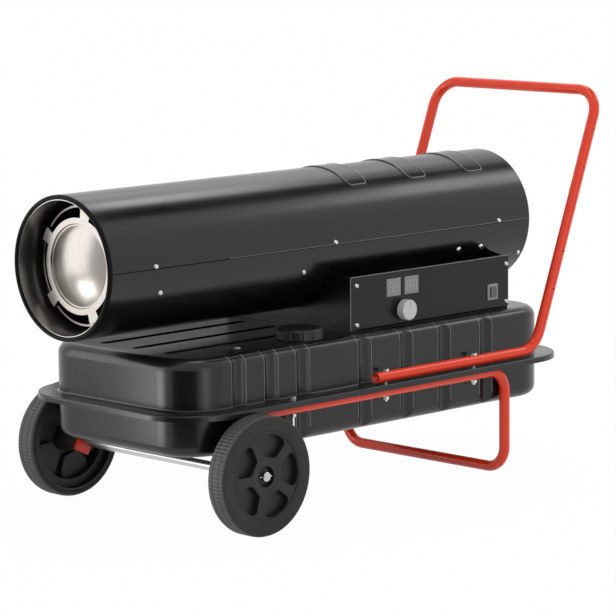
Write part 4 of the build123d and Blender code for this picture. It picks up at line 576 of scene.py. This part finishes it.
# %% Dress the CAD nodes
finishes = {
    "upper_barrel_shell": barrel_black,
    "lower_barrel_shell": barrel_black,
    "seam_rivets": barrel_black,
    "upper_tank_shell": tank_black,
    "lower_tank_shell": tank_black,
    "filler_neck": tank_black,
    "support_cradle": cradle_black,
    "control_panel": cradle_black,
    "motor_bracket": cradle_black,
    "intake_grille": cradle_black,
    "handle_tube": tube_orange,
    "base_frame_tube": tube_orange,
    "combustion_chamber": chamber_steel,
    "flame_disc": chamber_steel,
    "burner_tube": chamber_steel,
    "swirl_plate": chamber_steel,
    "chamber_standoffs": chamber_steel,
    "heat_shield": shield_steel,
    "seam_screws": plated_steel,
    "shell_screws": plated_steel,
    "panel_screws": plated_steel,
    "frame_bolts": plated_steel,
    "frame_nuts": plated_steel,
    "drain_plug": plated_steel,
    "motor_shaft": plated_steel,
    "knob_spindle": plated_steel,
    "axle": axle_steel,
    "axle_washers": black_steel_and_recess_shade,
    "split_pins": axle_steel,
    "motor_bolts": plated_steel,
    "fuel_nozzle": nozzle_brass,
    "ignition_electrodes": ceramic_white,
    "fan": cast_aluminium,
    "air_pump": cast_aluminium,
    "pump_cover": cast_aluminium,
    "motor": motor_grey,
    "control_board": board_green,
    "flame_sensor": black_plastic,
    "potentiometer": black_plastic,
    "switch_body": bezel_grey,
    "switch_rocker": rocker_grey,
    "power_inlet_gland": black_plastic,
    "ignition_transformer": black_plastic,
    "fuel_cap": black_plastic,
    "fuel_gauge": black_plastic,
    "thermostat_knob": knob_grey,
    "display_windows": window_grey,
    "fuel_strainer": white_plastic,
    "fuel_float": white_plastic,
    "gauge_needle": dial_silver,
    "gauge_lens": lens_clear,
    "cap_gasket": tyre_rubber,
    "frame_pads": tyre_rubber,
    "fuel_line": line_copper,
    "air_line": line_copper,
    "fuel_pickup": line_copper,
    "near_wheel_disc": wheel_plastic,
    "far_wheel_disc": wheel_plastic,
}
for node_name, finish in finishes.items():
    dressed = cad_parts[node_name]
    dressed.data.materials.clear()
    dressed.data.materials.append(finish)
# The photograph shows no orange streaks in the black barrel, so mirror rays miss the handle.
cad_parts["handle_tube"].visible_glossy = False
print("dressed", len(finishes), "of", len(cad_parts), "nodes")

# %% [markdown]
# ## Pieces worked out with numpy
#
# CAD leaves out what is too soft or too fine for a solid. Such a surface is a grid of
# points: one array axis runs along the piece and the other across it, and every face
# joins four neighbours. Whole arrays are worked out at once.


# %% Normals, grids and blocks
def outwards_of(path):
    """Unit normals of a closed plan path, to the right of its direction of travel."""
    tangent = np.roll(path, -1, axis=0) - np.roll(path, 1, axis=0)
    tangent /= np.maximum(np.linalg.norm(tangent, axis=1), 1e-9)[:, None]
    return np.stack([tangent[:, 1], -tangent[:, 0]], axis=1)


def mesh_piece(name, points, quads, finish, body):
    """Puts points and four-cornered faces into a mesh that rides on a body."""
    mesh = bpy.data.meshes.new(name)
    mesh.from_pydata(points.reshape(-1, 3).tolist(), [], quads.tolist())
    mesh.materials.append(finish)
    made = bpy.data.objects.new(name, mesh)
    bpy.context.collection.objects.link(made)
    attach(made, body)
    print(name, len(quads), "faces")
    return made


def grid_piece(
    name, points, finish, body, closed_along=False, closed_across=False, turned=False, second=None
):
    """Joins (rows, columns, 3) points, or several such grids, into a smooth quad mesh on a body.

    turned faces the quads the other way, where the grid alone would face them inwards.
    second is a finish and the columns of faces that wear it.
    """
    points = points.reshape(-1, *points.shape[-3:])
    index = np.arange(points.size // 3).reshape(points.shape[:3])
    if closed_along:
        index = np.concatenate([index, index[:, :1]], axis=1)
    if closed_across:
        index = np.concatenate([index, index[:, :, :1]], axis=2)
    corners = [index[:, :-1, :-1], index[:, 1:, :-1], index[:, 1:, 1:], index[:, :-1, 1:]]
    quads = np.stack(corners, axis=-1).reshape(-1, 4)
    if turned:
        quads = quads[:, [0, 3, 2, 1]]
    made = mesh_piece(name, points, quads, finish, body)
    made.data.polygons.foreach_set("use_smooth", np.ones(len(quads), bool))
    if second:
        second_finish, second_columns = second
        made.data.materials.append(second_finish)
        columns = index.shape[2] - 1
        wears_second = np.isin(np.tile(np.arange(columns), len(quads) // columns), second_columns)
        made.data.polygons.foreach_set("material_index", wears_second.astype(np.int32))
    return made


def blocks_piece(name, centres, halves, finish, body):
    """Many small blocks as one mesh: eight corners each, at centre plus or minus its half sizes."""
    signs = np.array([(x, y, z) for x in (-1, 1) for y in (-1, 1) for z in (-1, 1)], float)
    corners = np.array(centres)[:, None, :] + signs[None] * np.array(halves)[:, None, :]
    one = np.array(
        [(0, 1, 3, 2), (4, 6, 7, 5), (0, 4, 5, 1), (2, 3, 7, 6), (0, 2, 6, 4), (1, 5, 7, 3)]
    )
    quads = (one[None] + 8 * np.arange(len(corners))[:, None, None]).reshape(-1, 4)
    mesh_piece(name, corners, quads, finish, body)


# %% [markdown]
# ## Ribbed tyres
#
# The wheels wear solid rubber tyres, with fine ribs across the tread and a groove near
# each shoulder. Ribs could be a bump, but then the tyre's edge would stay a clean circle,
# or hundreds of blocks, which are heavy. Here one profile is turned about the axle, and
# its radius rises and falls with the angle.

# %% Tyre profile and ribs
axle_place = np.array([-0.35285, 0.0, 0.100])
tyre_inner_face, tyre_outer_face = 0.2207, 0.2597
rib_count, rib_height, rib_steps, rib_crispness = 96, 0.0008, 8, 4.0
tread_edge, tread_fade, tread_radius = 0.003, 0.002, 0.0985
tread_columns = np.arange(9, 24)
corner_angle = radians(40)


def ribbed_tyre(side):
    """The tyre's profile (distance from the middle plane, radius) turned about the axle.

    On the tread the radius is profile - height * (1 - s), where s is a rounded square wave
    of the turning angle, tanh(crispness * sin(count * angle)) scaled to 0..1. The ribs
    fade out at both shoulders.
    """
    inner, outer = tyre_inner_face, tyre_outer_face
    profile = np.array(
        [
            (inner + 0.001, 0.0896), (inner + 0.016, 0.0896), (inner + 0.016, 0.0751),
            (outer - 0.001, 0.0751), (outer - 0.0002, 0.0757), (outer, 0.0765),
            (outer, 0.088), (outer, 0.0935), (outer - 0.0006, 0.0960),
            (outer - 0.0022, 0.0983), (outer - 0.0045, 0.0995), (outer - 0.0065, 0.1),
            (outer - 0.0115, 0.1), (outer - 0.0116, 0.0994), (outer - 0.0134, 0.0994),
            (outer - 0.0135, 0.1), (outer - 0.0192, 0.1), (inner + 0.0135, 0.1),
            (inner + 0.0134, 0.0994), (inner + 0.0116, 0.0994), (inner + 0.0115, 0.1),
            (inner + 0.0065, 0.1), (inner + 0.0045, 0.0995), (inner + 0.0022, 0.0983),
            (inner + 0.0006, 0.0960), (inner, 0.0935), (inner, 0.0912),
            (inner + 0.0002, 0.0902),
        ]
    )
    angle = np.linspace(0.0, tau, rib_count * rib_steps, endpoint=False)
    wave = 0.5 + 0.5 * np.tanh(rib_crispness * np.sin(rib_count * angle))
    across = np.minimum(profile[:, 0] - inner, outer - profile[:, 0])
    on_tread = np.clip((across - tread_edge) / tread_fade, 0.0, 1.0)
    on_tread *= profile[:, 1] > tread_radius
    radius = profile[None, :, 1] - rib_height * (1.0 - wave[:, None]) * on_tread[None]
    points = np.empty((len(angle), len(profile), 3))
    points[..., 0] = axle_place[0] + radius * np.cos(angle)[:, None]
    points[..., 1] = side * profile[None, :, 0]
    points[..., 2] = axle_place[2] + radius * np.sin(angle)[:, None]
    return points


for side, side_name in ((-1, "near"), (1, "far")):
    made = grid_piece(
        side_name + "_ribbed_tyre",
        ribbed_tyre(side),
        tyre_rubber,
        side_name + "_wheel",
        closed_along=True,
        closed_across=True,
        turned=side < 0,
        second=(lit_tread_rubber, tread_columns),
    )
    bend = made.modifiers.new("keep corners crisp", "EDGE_SPLIT")
    bend.split_angle = corner_angle
    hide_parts(side_name + "_tyre")

# %% [markdown]
# ## Soft edges round the barrel's raised bands
#
# Three broad bands are pressed into the barrel's shell. Pressed sheet bends in a soft
# step, and light catches its rounded edge, while the CAD bands rise with sharp sides. A
# bevel would do, but a CAD mesh is never changed. So a thin skirt hides each sharp side,
# and a bead about a millimetre thick, in pale grey metal, paints the highlight on the edge.

# %% Band skirts and bright lines
barrel_radius, barrel_height = 0.1202, 0.4405
band_centres = [0.04795, 0.19995, 0.34895]
band_half, band_span, band_round, band_rise = 0.023, 0.0772632, 0.009, 0.0018
skirt_inside, skirt_outside = 0.0012, 0.0024
skirt_above_band, skirt_below_barrel = 0.00008, 0.00004
bead_line, bead_inset = 0.0006, 0.0002
skirt_points, skirt_columns = 240, 13
bead_points, bead_columns = 320, 10


def band_outline(count):
    """Even points along one band's outline, unrolled flat: (along X, arc length round the barrel).

    The outline is a rounded rectangle in plan (x, y), unrolled with arc length R asin(y / R).
    """
    turn = np.linspace(0.0, pi / 2, 9)
    corner = np.stack([band_round * np.cos(turn), band_round * np.sin(turn)], axis=1)
    core = np.array([band_half - band_round, band_span - band_round])
    right_top = core + corner
    left_top = (right_top * [-1, 1])[::-1]
    outline = np.vstack([right_top, left_top, -right_top, (right_top * [1, -1])[::-1]])
    step = np.linalg.norm(np.diff(np.vstack([outline, outline[:1]]), axis=0), axis=1)
    length = np.concatenate([[0.0], np.cumsum(step)])
    even = np.linspace(0.0, length[-1], count, endpoint=False)
    plan_x = np.interp(even, length, np.append(outline[:, 0], outline[0, 0]))
    plan_y = np.interp(even, length, np.append(outline[:, 1], outline[0, 1]))
    return np.stack([plan_x, barrel_radius * np.arcsin(plan_y / barrel_radius)], axis=1)


def round_band(x, count, across, height):
    """A section (across the outline, height above the barrel) carried round one band.

    It is laid out flat beside the outline, then rolled back on: with lean = arc length / R,
    y = (R + height) sin lean and z = axis + (R + height) cos lean.
    """
    outline = band_outline(count)
    place = outline[:, None, :] + outwards_of(outline)[:, None, :] * across[None, :, None]
    lean = place[..., 1] / barrel_radius
    radius = barrel_radius + height[None, :]
    around = [radius * np.sin(lean), barrel_height + radius * np.cos(lean)]
    return np.stack([x + place[..., 0], *around], axis=-1)


def band_skirt(x):
    """A soft step: the height falls as a half cosine from the band's top to the barrel."""
    across = np.linspace(-skirt_inside, skirt_outside, skirt_columns)
    share = (across - across[0]) / (across[-1] - across[0])
    fall = 0.5 + 0.5 * np.cos(pi * share)
    height = (band_rise + skirt_above_band) * fall - skirt_below_barrel * share
    return round_band(x, skirt_points, across, height)


def band_bead(x):
    """A thin line: a circle of radius r, across by r cos a and up by r sin a."""
    angle = np.linspace(0.0, tau, bead_columns, endpoint=False)
    across = bead_line * np.cos(angle) - bead_inset
    return round_band(x, bead_points, across, band_rise + bead_line * np.sin(angle))


for number, x in enumerate(band_centres, start=1):
    grid_piece(
        "band_edge_%d" % number, band_skirt(x), barrel_black, "heater",
        closed_along=True, turned=True,
    )
    grid_piece(
        "band_highlight_%d" % number, band_bead(x), painted_highlight_edge, "heater",
        closed_along=True, closed_across=True,
    )

# %% [markdown]
# ## The round at the foot of the tank's wall
#
# The tank is two pressed shells, joined at a flat rim. Where the upper wall meets the
# rim the press leaves a hollow round, which catches a thin line of light. It
# could be a fillet on the solid. As a strip swept along the tank's plan it follows the
# side grooves too, and needs only seven points across.

# %% Strip between wall and rim
tank_front, tank_long, tank_half, tank_corner = -0.45745, 0.8944, 0.1865, 0.076
rim_level, foot_round, foot_skin = 0.206, 0.0035, 0.00005
side_points, corner_points, foot_columns = 1400, 24, 7
groove_centres = tank_front + np.array([0.112, 0.1859, 0.2593, 0.4075, 0.511, 0.6073, 0.7156])
groove_wide, groove_deep, groove_edge, groove_start = 0.017, 0.006, 0.006, radians(8.0)


def groove_depth(x):
    """Depth of the side grooves at x: a round bottom between two rounded edges.

    With steepest slope t, the bottom is depth - r(1 - cos a) where r sin a is the distance
    from the groove's middle, and the edge arc of radius e eases it out to the wall.
    """
    reach = groove_wide + groove_edge * sin(groove_start)
    rise = groove_deep + groove_edge * (1 - cos(groove_start))
    slope = 2 * np.arctan2(rise, reach)
    bottom = reach / np.sin(slope) - groove_edge
    away = np.min(np.abs(x[:, None] - groove_centres[None]), axis=1)
    in_bottom = away < bottom * np.sin(slope)
    low = groove_deep - bottom + np.sqrt(np.maximum(bottom**2 - away**2, 0.0))
    edge_part = np.clip((reach - away) / groove_edge, 0.0, 1.0)
    high = groove_edge * cos(groove_start) - groove_edge * np.sqrt(1 - edge_part**2)
    return np.maximum(np.where(in_bottom, low, high), 0.0) * (away < groove_wide)


def tank_plan():
    """The wall's closed plan: a rounded rectangle, pushed in by the grooves along both sides."""
    front_x, rear_x = tank_front + tank_corner, tank_front + tank_long - tank_corner
    side_x = np.linspace(front_x, rear_x, side_points)
    turn = np.linspace(0.0, pi / 2, corner_points)
    near_side = np.stack([side_x, -(tank_half - groove_depth(side_x))], axis=1)
    near_rear = np.stack(
        [rear_x + tank_corner * np.sin(turn), tank_corner - tank_half - tank_corner * np.cos(turn)],
        axis=1,
    )
    middle_x = tank_front + tank_long / 2
    far_side = np.stack([side_x[::-1], tank_half - groove_depth(side_x[::-1])], axis=1)
    far_rear = (near_rear * [1, -1])[::-1]
    near_front = np.stack([2 * middle_x - near_rear[:, 0], near_rear[:, 1]], axis=1)[::-1]
    far_front = (near_front * [1, -1])[::-1]
    rear = [near_rear[1:], far_rear]
    front = [far_front[1:], near_front[:-1]]
    return np.vstack([near_side, *rear, far_side[1:], *front])


def wall_foot():
    """A hollow quarter circle swept along the plan: out r - r cos t, up r - r sin t."""
    path = tank_plan()
    section = np.linspace(0.0, pi / 2, foot_columns)
    out = foot_round - foot_round * np.cos(section) - foot_skin
    up = foot_round - foot_round * np.sin(section) + foot_skin
    points = np.empty((len(path), len(section), 3))
    points[..., :2] = path[:, None, :] + outwards_of(path)[:, None, :] * out[None, :, None]
    points[..., 2] = rim_level + up[None]
    return points


grid_piece(
    "tank_wall_foot", wall_foot(), tank_black, "heater", closed_along=True, turned=True
)

# %% [markdown]
# ## Painted highlights beside the tank's side grooves
#
# Seven upright grooves stiffen each side of the tank, and light catches each edge in a
# fine pale line. That highlight is painted: each edge is a wire of pale grey metal. It
# could be drawn by a mask on the edges, but the lines in the photograph are even and
# crisp. So each wire is half a millimetre in radius, half sunk into the wall, and rolls
# over the shoulder above.

# %% Wires along the grooves
edge_line, edge_reach = 0.0005, 0.0163
line_low, line_high, shoulder = 0.2098, 0.271, 0.020
lower_low, lower_high = 0.150, 0.1945
straight_points, roll_points, wire_columns = 5, 9, 8
roll_end = radians(75)


def groove_lines(heights, tilt, inward):
    """A small circle carried up both edges of every groove, on both sides of the tank.

    Point = path + r cos a along X + r sin a outwards, where outwards tilts from level
    to upright as the path rolls over the shoulder. X is mirrored on the far side.
    """
    x = (groove_centres[:, None] + np.array([-edge_reach, edge_reach])).ravel()
    depth = groove_depth(x)
    side = np.array([-1.0, 1.0])[:, None, None]
    path = np.empty((2, len(x), len(heights), 3))
    path[..., 0] = x[None, :, None]
    path[..., 1] = side * (tank_half - depth[None, :, None] - inward)
    path[..., 2] = heights
    outwards, along = np.zeros_like(path), np.zeros_like(path)
    outwards[..., 1] = side * np.cos(tilt)
    outwards[..., 2] = np.sin(tilt)
    along[..., 0] = -side
    angle = np.linspace(0.0, tau, wire_columns, endpoint=False)[:, None]
    ring = np.cos(angle) * along[..., None, :] + np.sin(angle) * outwards[..., None, :]
    return path[..., None, :] + edge_line * ring


roll = np.linspace(0.0, roll_end, roll_points)[1:]
upper_tilt = np.concatenate([np.zeros(straight_points), roll])
upper_heights = np.concatenate(
    [np.linspace(line_low, line_high, straight_points), line_high + shoulder * np.sin(roll)]
)
lower_heights = np.linspace(lower_low, lower_high, straight_points)
no_tilt = np.zeros(straight_points)
grid_piece(
    "upper_groove_lines",
    groove_lines(upper_heights, upper_tilt, shoulder * (1 - np.cos(upper_tilt))),
    painted_highlight_edge, "heater", closed_across=True,
)
grid_piece(
    "lower_groove_lines",
    groove_lines(lower_heights, no_tilt, no_tilt),
    painted_highlight_edge, "heater", closed_across=True,
)

# %% [markdown]
# ## The outlet's lip
#
# The barrel's front edge is rolled inwards, and the roll looks dark and matt where the
# barrel shines, for it lies in shade. The CAD shell has the roll but only one finish. A
# second material on the CAD mesh would need its faces picked out, so a skin less than a
# tenth of a millimetre proud of it wears a near-black matt paint: painted shade.

# %% Painted shade on the rolled lip
outlet_x, lip_radius, lip_skin, lip_step = -0.56405, 0.00375, 0.00008, 0.003
lip_points, lip_columns, lip_end = 480, 48, radians(190)


def lip_roll():
    """The lip's half round turned about the barrel's axis, a hair outside the shell.

    Radius = R - r + r' cos a and x = lip centre - r' sin a, with a from 0 to 190 degrees,
    after one straight step along the barrel.
    """
    turn = np.linspace(0.0, tau, lip_points, endpoint=False)[:, None]
    angle = np.linspace(0.0, lip_end, lip_columns)[None]
    radius = barrel_radius - lip_radius + (lip_radius + lip_skin) * np.cos(angle)
    x = outlet_x + lip_radius - (lip_radius + lip_skin) * np.sin(angle)
    radius = np.concatenate([radius[:, :1], radius], axis=1)
    x = np.concatenate([x[:, :1] + lip_step, x], axis=1) + 0.0 * turn
    return np.stack([x, radius * np.sin(turn), barrel_height + radius * np.cos(turn)], axis=-1)


grid_piece("lip_roll", lip_roll(), lip_shade_black, "heater", closed_along=True)

# %% [markdown]
# ## Straight beads
#
# The control panel is folded from sheet, and light catches the top and left folds. The
# barrel's two shells meet in a seam on each side, a dark gap with a pale edge above it.
# All of these could be bevels. A thin round bead along each line is simpler, shows the
# same at this size, and can start and stop where the photograph's line does. The pale
# beads are painted highlights in grey metal, and the seam's black bead is painted shadow.


# %% Bead maker
def bead(start, end, radius, rows=9, columns=16):
    """A thin round edge: a circle of the given radius carried along a straight line.

    Point = start + t (end - start) + radius (cos a side + sin a up), t from 0 to 1.
    """
    start, end = np.array(start), np.array(end)
    along = (end - start) / np.linalg.norm(end - start)
    side = np.array([0.0, 1.0, 0.0])
    up = np.cross(side, along)
    angle = np.linspace(0.0, tau, columns, endpoint=False)
    ring = radius * (np.cos(angle)[:, None] * side + np.sin(angle)[:, None] * up)
    spots = start + np.linspace(0.0, 1.0, rows)[:, None] * (end - start)
    return spots[:, None, :] + ring[None]


# %% The panel's folded edges
panel_left, panel_right, panel_low, panel_top = -0.05135, 0.35305, 0.295, 0.386
bead_y, bead_radius = -0.1549, 0.0006
panel_ends = {
    "panel_top_edge": ((panel_left, bead_y, panel_top), (panel_right, bead_y, panel_top)),
    "panel_left_edge": ((panel_left, bead_y, panel_low), (panel_left, bead_y, panel_top)),
}
for name, (start, end) in panel_ends.items():
    grid_piece(
        name, bead(start, end, bead_radius), painted_highlight_edge, "heater", closed_across=True
    )

# %% The barrel's two seams: painted shadow in the gap and a painted highlight above it
seam_lip, seam_worn, seam_end = -0.5565, -0.30, 0.4500
seam_radius, seam_edge_radius, seam_edge_up = 0.0007, 0.0004, 0.0009
for side, side_name in ((-1, "near"), (1, "far")):
    seam_y, edge_z = side * barrel_radius, barrel_height + seam_edge_up
    grid_piece(
        side_name + "_seam_shadow_bead",
        bead((seam_lip, seam_y, barrel_height), (seam_end, seam_y, barrel_height), seam_radius),
        seam_shadow_black, "heater", closed_across=True,
    )
    grid_piece(
        side_name + "_seam_highlight",
        bead((seam_worn, seam_y, edge_z), (seam_end, seam_y, edge_z), seam_edge_radius),
        painted_highlight_edge, "heater", closed_across=True,
    )

# %% [markdown]
# ## Small marks on the panel
#
# Each display window shows two unlit digits, and each panel screw has a cross in its
# head, whose shade is painted in black. Both could be pictures on the faces, but a
# picture this small blurs up close. Blocks about a tenth of a millimetre thick stay
# sharp, and each kind is one mesh.

# %% Display digits: seven faint bars each
panel_face, window_proud = -0.1554, 0.0006
window_x, window_z, digit_shift = (0.05485, 0.09985), 0.359, 0.0078
bar_long, bar_wide, bar_gap = 0.0088, 0.0014, 0.0008
bar_skin, bar_proud = 0.00005, 0.00004


def digit_bars():
    """Centres and half sizes of two figure eights in each window: three level bars, four upright."""
    digit_x = np.array([x + shift for x in window_x for shift in (-digit_shift, digit_shift)])
    level = np.array([(0.0, -bar_long), (0.0, 0.0), (0.0, bar_long)])
    upright = np.array([(a * bar_long / 2, b * bar_long / 2) for a in (-1, 1) for b in (-1, 1)])
    offsets = np.vstack([level, upright])
    half_long, half_wide = bar_long / 2 - bar_gap, bar_wide / 2
    level_halves = np.tile([half_long, bar_skin, half_wide], (len(level), 1))
    upright_halves = np.tile([half_wide, bar_skin, half_long], (len(upright), 1))
    centres = np.empty((len(digit_x), len(offsets), 3))
    centres[..., 0] = digit_x[:, None] + offsets[None, :, 0]
    centres[..., 1] = panel_face - window_proud - bar_proud
    centres[..., 2] = window_z + offsets[None, :, 1]
    halves = np.tile(np.vstack([level_halves, upright_halves]), (len(digit_x), 1))
    return centres.reshape(-1, 3), halves


blocks_piece("display_digits", *digit_bars(), digit_grey, "heater")

# %% Painted shade of the crosses in the panel screws
screw_x, screw_z = (-0.03695, 0.34725), (0.303, 0.371)
screw_head, cross_arm, cross_width, cross_skin = 0.0024, 0.0016, 0.00035, 0.00006


def screw_crosses():
    """Two crossed black bars on each head, a hair above it: the painted shade of its recess."""
    heads = np.array([(x, panel_face - screw_head, z) for x in screw_x for z in screw_z])
    arms = [(cross_arm, cross_skin, cross_width), (cross_width, cross_skin, cross_arm)]
    return np.repeat(heads, len(arms), axis=0), np.tile(arms, (len(heads), 1))


blocks_piece("panel_screw_crosses", *screw_crosses(), black_steel_and_recess_shade, "heater")
